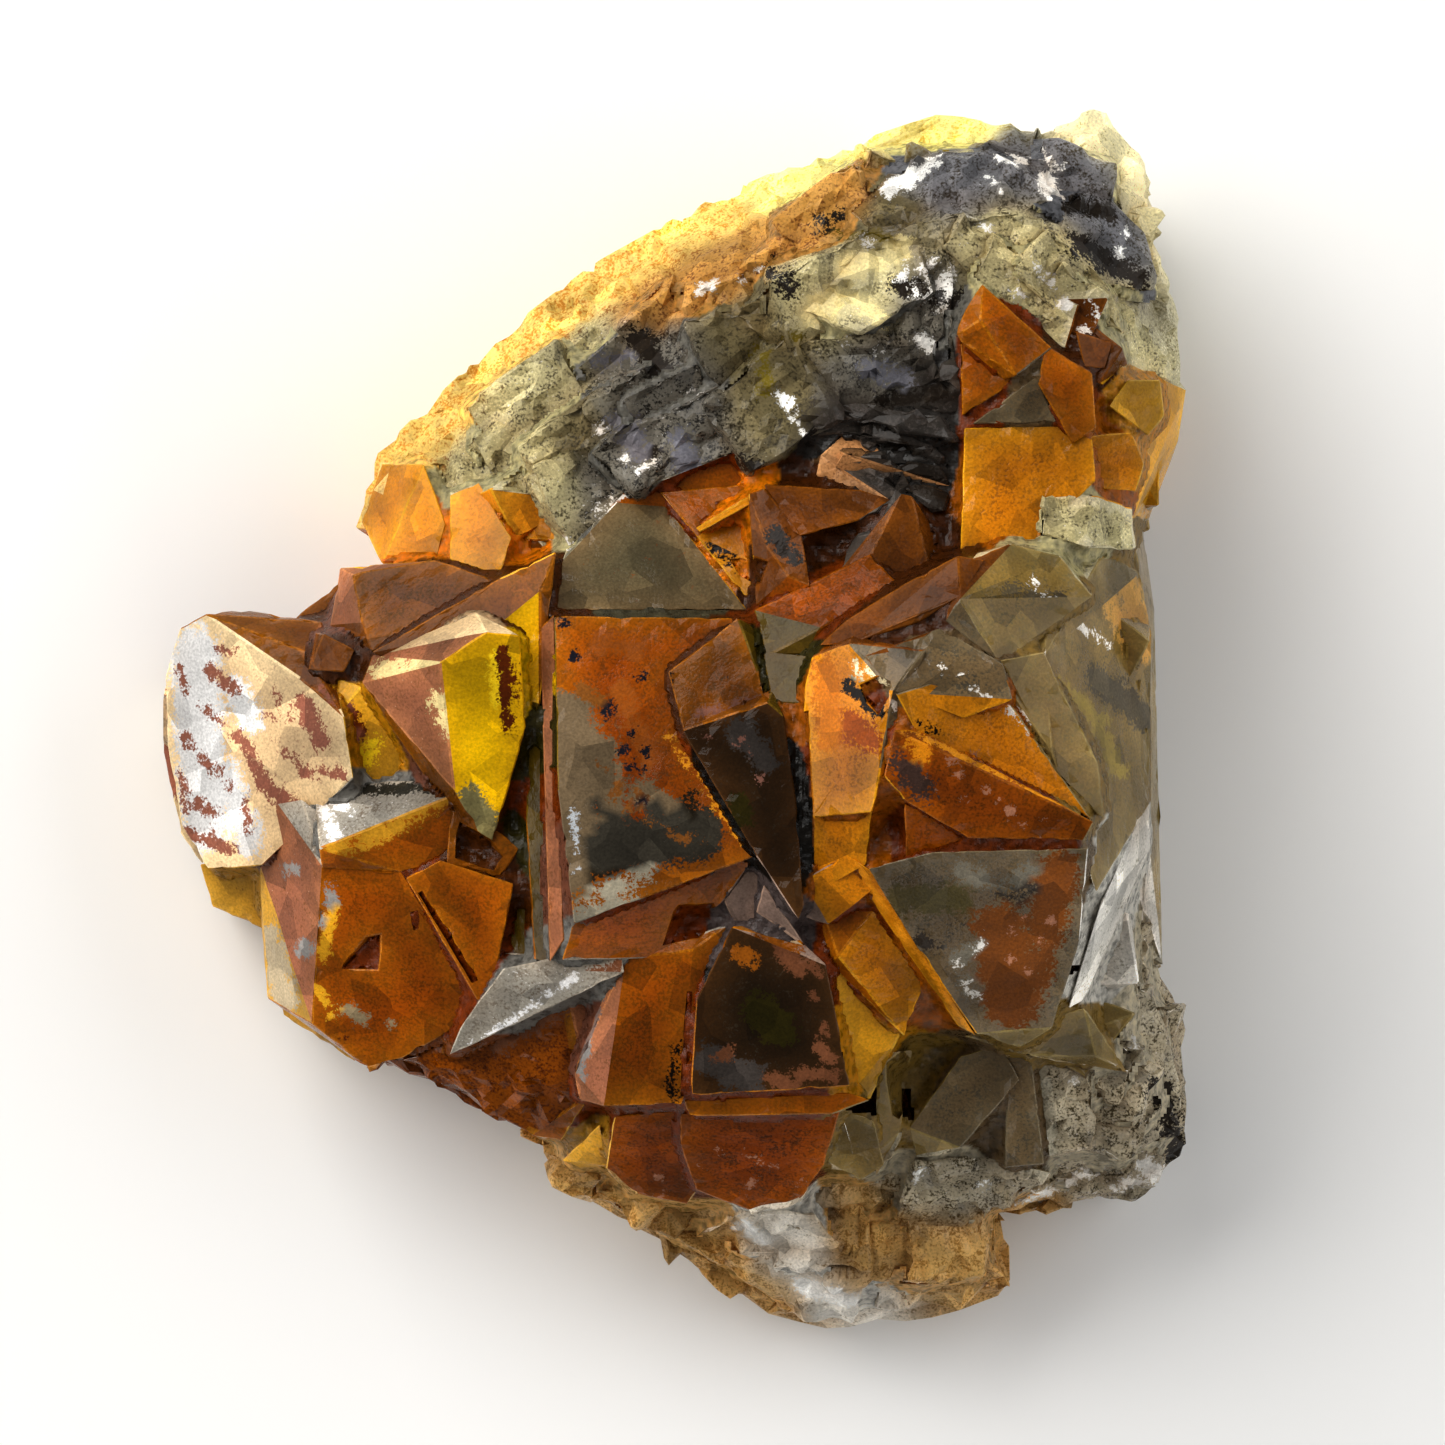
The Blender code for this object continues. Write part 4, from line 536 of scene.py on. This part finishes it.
def crystal_relief(points, normals, depth, rim, crevice):
    """Low growth terraces on the crystal faces, and nicks in their edges."""
    moved = points.copy()
    for i in np.nonzero(depth == 0)[0]:
        point = Vector(points[i])
        terrace = noise.noise(point / (1.3 * MM)) * 4.0
        height = (math.floor(terrace) + min(1.0, (terrace % 1.0) * 3.0)) * 0.010
        nick = max(0.0, noise.noise(point / (0.55 * MM)) - 0.12) * rim[i] * 0.30
        moved[i] = point + Vector(normals[i]) * (height * (1 - crevice[i]) - nick) * MM
    return moved


def closeness(tree, points, reach):
    """One on a sharp edge, falling to nothing away from it."""
    return np.array([math.exp(-tree.find(point)[2] / reach) for point in points])


def give(mesh, name, kind, domain, values):
    """Store an array as a named attribute of the mesh."""
    field = {"FLOAT_COLOR": "color", "FLOAT_VECTOR": "vector"}[kind]
    if kind == "FLOAT_COLOR":
        values = np.concatenate((values, np.ones((len(values), 1))), axis=1)
    attribute = mesh.attributes.new(name, kind, domain)
    attribute.data.foreach_set(field, values.astype(np.float32).ravel())


def paint(mesh, chosen, middles, radii, layers, zones, zone_names, rim, crevice):
    """Store the finishes on the corners of the mesh, and the painted light along the edges and painted shade in the
    crevices.
    """
    corner_vertex = np.zeros(len(mesh.loops), dtype=np.int32)
    mesh.loops.foreach_get("vertex_index", corner_vertex)
    corner_face = np.repeat(np.arange(len(mesh.polygons)), 3)
    numbers = np.zeros(len(mesh.polygons), dtype=np.int32)
    mesh.attributes["number"].data.foreach_get("value", numbers)
    blunt = np.zeros(len(mesh.polygons), dtype=np.int32)
    mesh.attributes["blunt"].data.foreach_get("value", blunt)
    number = numbers[corner_face]

    def table(read):
        """A value of the finishes at each corner: per face on crystals, blended in the mass."""
        all_values = np.array([read(FINISHES[name]) for name in FINISH_NAMES])
        own = all_values[[FINISH_NAMES.index(name) for name in chosen]][number]
        zoned = zones @ np.array([read(FINISHES[name]) for name in zone_names])
        return np.where(is_broken[:, None], zoned[corner_vertex], own)

    is_broken = np.array([FINISHES[name].broken > 0 for name in chosen])[number]
    rng = np.random.default_rng(SEED)
    places = vertex_places(mesh)
    bearing = rng.uniform(0.0, 2 * math.pi, len(chosen))
    across = np.stack((np.cos(bearing), np.sin(bearing), 0 * bearing), axis=1)[number]
    along = ((places[corner_vertex] - middles[number]) * across).sum(axis=1) / radii[number]
    shade = rng.uniform(0.84, 1.10, len(chosen))[number] * (1 + FACE_FADE * np.clip(along, -1.3, 1.3))
    shade = np.where(is_broken, 1.0, shade)[:, None]
    tone = table(lambda f: linear(f.tone)) * shade
    # Edge colours of the finishes: a painted glow and highlight along the outward crystal edges; blunted edge faces on
    # crystals are painted wholly in them, as a highlight
    painted_edge_light = table(lambda f: linear(f.rim))
    tone = np.where(((blunt[corner_face] > 0) & ~is_broken)[:, None], painted_edge_light, tone)
    give(mesh, "tone", "FLOAT_COLOR", "CORNER", tone)
    give(mesh, "painted_edge_light", "FLOAT_COLOR", "CORNER", painted_edge_light)
    give(mesh, "patch_tone", "FLOAT_COLOR", "CORNER", table(lambda f: linear(f.patch)) * shade)
    give(mesh, "speck_and_glint_tone", "FLOAT_COLOR", "CORNER", table(lambda f: linear(f.speck)))
    give(mesh, "shares", "FLOAT_VECTOR", "CORNER", table(lambda f: (f.share, f.specks, f.soft)))

    where = picture_points(places)[corner_vertex]
    for layer, strokes in layers.items():
        weight = np.zeros(len(where))
        coat_glare_and_shade = np.zeros((len(where), 3))
        coat_glare_and_shade_rough = np.full(len(where), 0.3)
        for patch, (x0, y0, x1, y1, half_width), face in strokes:
            on_face = is_broken if FINISHES[chosen[face]].broken else number == face
            start, along = np.array((x0, y0)), np.array((x1 - x0, y1 - y0))
            t = np.clip(((where - start) @ along) / max(along @ along, 1e-9), 0, 1)
            away = np.linalg.norm(where - start - t[:, None] * along, axis=1) - half_width
            here = np.clip(0.5 - away / PATCH_FADE_PX, 0, 1) * on_face
            over = here >= np.maximum(weight, 0.02)
            coat_glare_and_shade[over] = linear(patch.tone)
            coat_glare_and_shade_rough[over] = patch.rough
            weight = np.maximum(weight, here)
        give(mesh, layer + "_tone", "FLOAT_COLOR", "CORNER", coat_glare_and_shade)
        give(mesh, layer, "FLOAT_VECTOR", "CORNER", np.stack((weight, coat_glare_and_shade_rough, 0 * weight), axis=1))
    traits = table(lambda f: (f.rough, f.clear, 0.0))
    give(mesh, "traits", "FLOAT_VECTOR", "CORNER", traits)
    crystal = np.zeros(len(rim))
    crystal[corner_vertex[~is_broken]] = 1.0
    give(mesh, "edges", "FLOAT_VECTOR", "POINT", np.stack((rim * crystal, crevice, crystal), axis=1))


def vertex_places(mesh):
    """The places of the mesh's vertices, as an array."""
    places = np.zeros(len(mesh.vertices) * 3)
    mesh.vertices.foreach_get("co", places)
    return places.reshape(-1, 3)


def add(tree, kind, inputs=None, **settings):
    """Add a shader node, with its settings and the values or links of its inputs."""
    made = tree.nodes.new(kind)
    for name, value in settings.items():
        setattr(made, name, value)
    for name, value in (inputs or {}).items():
        if isinstance(value, bpy.types.NodeSocket):
            tree.links.new(value, made.inputs[name])
        else:
            made.inputs[name].default_value = value
    return made


def maths(tree, operation, *values):
    """The result of a maths node."""
    return add(tree, "ShaderNodeMath", dict(enumerate(values)), operation=operation).outputs[0]


def mixed(tree, share, first, second, blend="MIX"):
    """One colour mixed into another."""
    made = add(tree, "ShaderNodeMix", {0: share, 6: first, 7: second}, data_type="RGBA", blend_type=blend)
    return made.outputs[2]


def stored(tree, name, kind="Color"):
    """An attribute of the mesh, a colour or its three numbers."""
    read = add(tree, "ShaderNodeAttribute", attribute_name=name)
    if kind == "Color":
        return read.outputs["Color"]
    return add(tree, "ShaderNodeSeparateXYZ", {"Vector": read.outputs["Vector"]}).outputs


def grain(tree, place, size, detail, roughness, low=0.3, high=0.7):
    """Noise with features of a size in metres, spread over zero to one."""
    made = add(
        tree, "ShaderNodeTexNoise",
        {"Vector": place, "Scale": 1 / size, "Detail": detail, "Roughness": roughness},
    )
    spread = add(
        tree, "ShaderNodeMapRange",
        {"Value": made.outputs[0], "From Min": low, "From Max": high}, clamp=True,
    )
    return spread.outputs[0]


def ragged(tree, share, field, crispness):
    """A mask that covers about that share of the surface, with the ragged edge of a noise."""
    over = maths(tree, "SUBTRACT", share, field)
    return add(
        tree, "ShaderNodeMapRange",
        {"Value": over, "From Min": -0.5 / crispness, "From Max": 0.5 / crispness}, clamp=True,
    ).outputs[0]


def fluorite_look():
    """Fluorite faces: clear to coated, tinted by depth, with ragged patches and fine specks."""
    material = bpy.data.materials.new("fluorite_faces")
    material.use_nodes = True
    tree = material.node_tree
    tree.nodes.clear()
    place = add(tree, "ShaderNodeTexCoord").outputs["Object"]
    share, specks, soft = stored(tree, "shares", "Numbers")[:3]
    rough, clear = stored(tree, "traits", "Numbers")[:2]
    coat_glare_and_shade_weight, coat_glare_and_shade_rough = stored(tree, "coat_glare_and_shade", "Numbers")[:2]
    flake_and_glint_weight, flake_and_glint_rough = stored(tree, "flake_and_glint", "Numbers")[:2]
    rim, crevice, crystal = stored(tree, "edges", "Numbers")[:3]

    coarse = grain(tree, place, 0.8 * MM, 5.0, 0.80)
    stipple = grain(tree, place, 0.14 * MM, 1.0, 0.60)
    cloud = grain(tree, place, 3.2 * MM, 1.0, 0.50)
    dots = grain(tree, place, 0.11 * MM, 0.0, 0.50, 0.50, 0.85)
    field = maths(tree, "MULTIPLY_ADD", coarse, 0.62, maths(tree, "MULTIPLY", stipple, 0.38))
    patch = ragged(tree, share, field, 5.0)
    # Fine specks: on the crystals small spots of the stone; the white ones on the mass and clear finishes are painted
    # glints
    speck = ragged(tree, specks, maths(tree, "SUBTRACT", 1.15, dots), 8.0)
    # The coats layer: windows and coats, and patches of painted glare and painted shade
    coat_glare_and_shade_field = maths(tree, "MULTIPLY_ADD", coarse, 0.65, maths(tree, "MULTIPLY_ADD", stipple, 0.30, 0.02))
    coat_glare_and_shade = ragged(tree, coat_glare_and_shade_weight, coat_glare_and_shade_field, 7.0)
    # The flakes layer: flakes and spots of the stone, and white painted glints
    flake_and_glint_field = maths(tree, "MULTIPLY_ADD", coarse, 0.42, maths(tree, "MULTIPLY_ADD", stipple, 0.16, 0.21))
    flake_and_glint = ragged(tree, flake_and_glint_weight, flake_and_glint_field, 12.0)
    # Painted glow and highlight near outward crystal edges: a strong narrow one and a faint wide one, in the edge
    # colour
    wide_glow = maths(tree, "MULTIPLY", maths(tree, "POWER", rim, 0.30), 0.50)
    glow = maths(tree, "MAXIMUM", maths(tree, "MULTIPLY", rim, 0.65), wide_glow)
    # Painted shade near inward edges, darkening the colour towards a warm brown
    gloom = maths(tree, "MULTIPLY", maths(tree, "POWER", crevice, 0.40), 0.50)

    colour = mixed(tree, patch, stored(tree, "tone"), stored(tree, "patch_tone"))
    colour = mixed(tree, glow, colour, stored(tree, "painted_edge_light"))
    colour = mixed(tree, maths(tree, "MULTIPLY", speck, 0.5), colour, stored(tree, "speck_and_glint_tone"))
    colour = mixed(tree, coat_glare_and_shade, colour, stored(tree, "coat_glare_and_shade_tone"))
    colour = mixed(tree, flake_and_glint, colour, stored(tree, "flake_and_glint_tone"))
    # Cells of lighter and darker tone: painted reflections from cleavage planes within the crystal
    painted_inner_reflection = add(tree, "ShaderNodeTexVoronoi", {"Vector": place, "Scale": 1 / (1.8 * MM)}).outputs["Color"]
    painted_inner_reflection = add(tree, "ShaderNodeSeparateColor", {"Color": painted_inner_reflection}).outputs[0]
    shade = maths(tree, "MULTIPLY_ADD", cloud, 0.44, 0.78)
    shade = maths(tree, "MULTIPLY", shade, maths(tree, "MULTIPLY_ADD", painted_inner_reflection, 0.56, 0.72))
    shade = maths(tree, "MULTIPLY", shade, maths(tree, "MULTIPLY_ADD", stipple, 0.36, 0.82))
    grey = add(tree, "ShaderNodeCombineColor", {0: shade, 1: shade, 2: shade}).outputs[0]
    colour = mixed(tree, 1.0, colour, grey, "MULTIPLY")
    colour = mixed(tree, gloom, colour, CREVICE_SHADE_TINT, "MULTIPLY")

    uneven = maths(tree, "MULTIPLY_ADD", patch, 0.12, rough)
    uneven = maths(tree, "MULTIPLY_ADD", stipple, 0.08, uneven)
    roughness = add(
        tree, "ShaderNodeMix", {0: coat_glare_and_shade, 2: uneven, 3: coat_glare_and_shade_rough}, data_type="FLOAT").outputs[0]
    roughness = add(
        tree, "ShaderNodeMix", {0: flake_and_glint, 2: roughness, 3: flake_and_glint_rough}, data_type="FLOAT").outputs[0]
    covered = maths(tree, "MAXIMUM", maths(tree, "MAXIMUM", coat_glare_and_shade, flake_and_glint), maths(tree, "MULTIPLY", patch, 0.5))
    open_share = maths(tree, "MULTIPLY", clear, maths(tree, "SUBTRACT", 1.0, covered))
    bump = add(
        tree, "ShaderNodeBump",
        {"Strength": 0.16, "Distance": 0.03 * MM, "Height": stipple},
    ).outputs[0]
    surface = add(tree, "ShaderNodeBsdfPrincipled", {
        "Base Color": colour, "Roughness": roughness, "IOR": FLUORITE_IOR, "Normal": bump,
        "Transmission Weight": open_share, "Specular IOR Level": 0.14,
    })
    depth = add(
        tree, "ShaderNodeVolumeAbsorption", {"Color": DEPTH_TINT, "Density": DEPTH_DENSITY})
    output = add(tree, "ShaderNodeOutputMaterial")
    tree.links.new(surface.outputs[0], output.inputs["Surface"])
    tree.links.new(depth.outputs[0], output.inputs["Volume"])
    return material


def widest(field, steps):
    """The greatest value around each place of a grid, or the least where steps is negative."""
    pick = np.maximum if steps > 0 else np.minimum
    reach = abs(steps)
    found = np.pad(field, reach)
    for axis in (0, 1):
        found = pick.reduce([np.roll(found, shift, axis) for shift in range(-reach, reach + 1)])
    return found[reach:-reach, reach:-reach]


def softened(field, steps):
    """A grid with each value averaged over the places around it."""
    found = np.pad(field, steps, mode="edge")
    for axis in (0, 1):
        found = np.mean([np.roll(found, shift, axis) for shift in range(-steps, steps + 1)], axis=0)
    return found[steps:-steps, steps:-steps]


def crevice_growth(tree, spots):
    """Fine dark growth that fills the narrow gaps between crystals to just below their rims."""
    low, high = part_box(NODE)
    xs = np.arange(low[0], high[0], GAP_PITCH)
    ys = np.arange(low[1], high[1], GAP_PITCH)
    heights = np.zeros((len(ys), len(xs)))
    down = Vector((0, 0, -1))
    for j, y in enumerate(ys):
        for i, x in enumerate(xs):
            hit = tree.ray_cast(Vector((x, y, high[2] + MM)), down)[0]
            heights[j, i] = hit.z if hit else 0.0
    level = heights
    for steps, freeboard in GAPS:
        level = np.maximum(level, widest(widest(heights, steps), -steps) - freeboard)
    for i in range(2):
        level = softened(level, 2)
    body = heights > SEEN_ABOVE
    gap = (level - heights > GAP_LEAST) & body

    near = KDTree(len(spots))
    for i, (place, name) in enumerate(spots):
        near.insert(place, i)
    near.balance()
    shape = bmesh.new()
    tone = shape.verts.layers.float_color.new("tone")
    made = {}

    def corner(j, i):
        if (j, i) not in made:
            uneven = noise.noise(Vector((xs[i], ys[j], 0)) / (0.5 * MM)) * 0.14 * MM
            top = level[j, i] + uneven
            z = top if gap[j, i] else min(top, heights[j, i] - 0.05 * MM)
            vertex = shape.verts.new((xs[i], ys[j], z))
            name = spots[near.find(vertex.co)[1]][1]
            vertex[tone] = linear(FINISHES[name].tone) + [1.0]
            made[(j, i)] = vertex
        return made[(j, i)]

    for j in range(len(ys) - 1):
        for i in range(len(xs) - 1):
            if gap[j:j + 2, i:i + 2].any() and body[j:j + 2, i:i + 2].all():
                shape.faces.new((corner(j, i), corner(j, i + 1), corner(j + 1, i + 1), corner(j + 1, i)))
    bmesh.ops.solidify(shape, geom=shape.faces[:], thickness=0.3 * MM)
    bmesh.ops.triangulate(shape, faces=shape.faces)
    mesh = bpy.data.meshes.new("crevice_growth")
    shape.to_mesh(mesh)
    shape.free()
    mesh.materials.append(growth_look())
    piece = bpy.data.objects.new("crevice_growth", mesh)
    bpy.context.scene.collection.objects.link(piece)
    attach(piece, "root")
    return piece


def growth_look():
    """The growth in the crevices: its face's tone, mottled and grainy."""
    material = bpy.data.materials.new("crevice_growth")
    material.use_nodes = True
    tree = material.node_tree
    tree.nodes.clear()
    place = add(tree, "ShaderNodeTexCoord").outputs["Object"]
    mottle = grain(tree, place, 0.5 * MM, 2.0, 0.60)
    shade = maths(tree, "MULTIPLY_ADD", mottle, 0.9, 0.55)
    grey = add(tree, "ShaderNodeCombineColor", {0: shade, 1: shade, 2: shade}).outputs[0]
    colour = mixed(tree, 1.0, stored(tree, "tone"), grey, "MULTIPLY")
    bump = add(
        tree, "ShaderNodeBump", {"Strength": 0.4, "Distance": 0.05 * MM, "Height": mottle}).outputs[0]
    surface = add(tree, "ShaderNodeBsdfPrincipled", {
        "Base Color": colour, "Roughness": maths(tree, "MULTIPLY_ADD", mottle, 0.2, 0.2),
        "IOR": FLUORITE_IOR, "Normal": bump,
    })
    output = add(tree, "ShaderNodeOutputMaterial")
    tree.links.new(surface.outputs[0], output.inputs["Surface"])
    return material


def dress(node):
    """The specimen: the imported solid's skin with relief, finishes and its material."""
    skin = skin_of(node)
    count = number_faces(skin)
    chosen, spots, middles, radii = choose_finishes(skin, count)
    crevice_growth(BVHTree.FromBMesh(skin), spots)
    layers = {"coat_glare_and_shade": brushed(skin, COATS_GLARE_AND_SHADE_PX), "flake_and_glint": brushed(skin, FLAKES_AND_GLINTS_PX)}
    outward, inward = edge_samples(skin, True), edge_samples(skin, False)
    blunt_edges(skin)
    divide(skin)
    print("triangles", len(skin.faces))

    mesh = bpy.data.meshes.new("fluorite")
    skin.to_mesh(mesh)
    skin.free()
    points = vertex_places(mesh)
    normals = np.array([vertex.normal for vertex in mesh.vertices])
    rim = closeness(outward, points, RIM_REACH)
    crevice = closeness(inward, points, CREVICE_REACH)
    zones, zone_names = zone_weights(points, spots)
    depth = zones @ np.array([FINISHES[name].broken for name in zone_names])
    for polygon, number in zip(mesh.polygons, mesh.attributes["number"].data):
        if not FINISHES[chosen[number.value]].broken:
            for vertex in polygon.vertices:
                depth[vertex] = 0.0
    moved = cleavage_relief(points, normals, depth)
    moved = crystal_relief(moved, normals, depth, rim, crevice)
    low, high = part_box(NODE)
    moved = np.clip(moved, np.array(low), np.array(high))
    mesh.vertices.foreach_set("co", moved.ravel())
    mesh.update()
    paint(mesh, chosen, middles, radii, layers, zones, zone_names, rim, crevice)
    mesh.shade_flat()
    mesh.materials.append(fluorite_look())

    piece = bpy.data.objects.new("fluorite", mesh)
    bpy.context.scene.collection.objects.link(piece)
    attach(piece, "root")
    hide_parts(NODE)
    return piece


def add_lamp(name, place, width, power, tint):
    """A square soft lamp that faces the specimen."""
    data = bpy.data.lights.new(name, "AREA")
    data.size = width
    data.energy = power
    data.color = tint
    light = bpy.data.objects.new(name, data)
    light.location = place
    aim = Vector((0.0, 0.0, CREST_HEIGHT)) - Vector(place)
    light.rotation_euler = aim.to_track_quat("-Z", "Y").to_euler()
    bpy.context.scene.collection.objects.link(light)


def add_floor():
    """A plain pale floor."""
    half = FLOOR_SIDE / 2
    mesh = bpy.data.meshes.new("floor")
    mesh.from_pydata([(-half, -half, 0), (half, -half, 0), (half, half, 0), (-half, half, 0)], [], [(0, 1, 2, 3)])
    material = bpy.data.materials.new("floor")
    material.use_nodes = True
    shader = material.node_tree.nodes["Principled BSDF"]
    shader.inputs["Base Color"].default_value = FLOOR_TONE
    shader.inputs["Roughness"].default_value = 0.9
    mesh.materials.append(material)
    floor = bpy.data.objects.new("floor", mesh)
    bpy.context.scene.collection.objects.link(floor)


def add_studio():
    """Soft pale light from the sky and three lamps, and how the picture is developed."""
    scene = bpy.context.scene
    world = bpy.data.worlds.new("studio")
    world.use_nodes = True
    world.node_tree.nodes["Background"].inputs["Color"].default_value = (1.0, 0.995, 0.985, 1.0)
    world.node_tree.nodes["Background"].inputs["Strength"].default_value = SKY_LIGHT
    scene.world = world
    for name, lamp in LAMPS.items():
        add_lamp(name, *lamp)
    scene.view_settings.view_transform = "Standard"
    scene.view_settings.exposure = 0.25
    scene.view_settings.gamma = 0.86
    scene.cycles.max_bounces = 8
    scene.cycles.diffuse_bounces = 3
    scene.cycles.glossy_bounces = 3
    scene.cycles.transmission_bounces = 6


def add_camera():
    """The camera straight above, its picture's middle where the photograph's is."""
    data = bpy.data.cameras.new("camera")
    data.sensor_fit = "HORIZONTAL"
    data.sensor_width = SENSOR_WIDTH
    data.lens = SENSOR_WIDTH * CAMERA_RISE / (PICTURE_PX / PX_PER_MM * MM)
    data.clip_start = 0.01
    camera = bpy.data.objects.new("camera", data)
    camera.location = CAMERA_PLACE
    bpy.context.scene.collection.objects.link(camera)
    bpy.context.scene.camera = camera


def main():
    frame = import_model()
    dress(frame["nodes"][NODE])
    add_floor()
    add_studio()
    add_camera()


main()
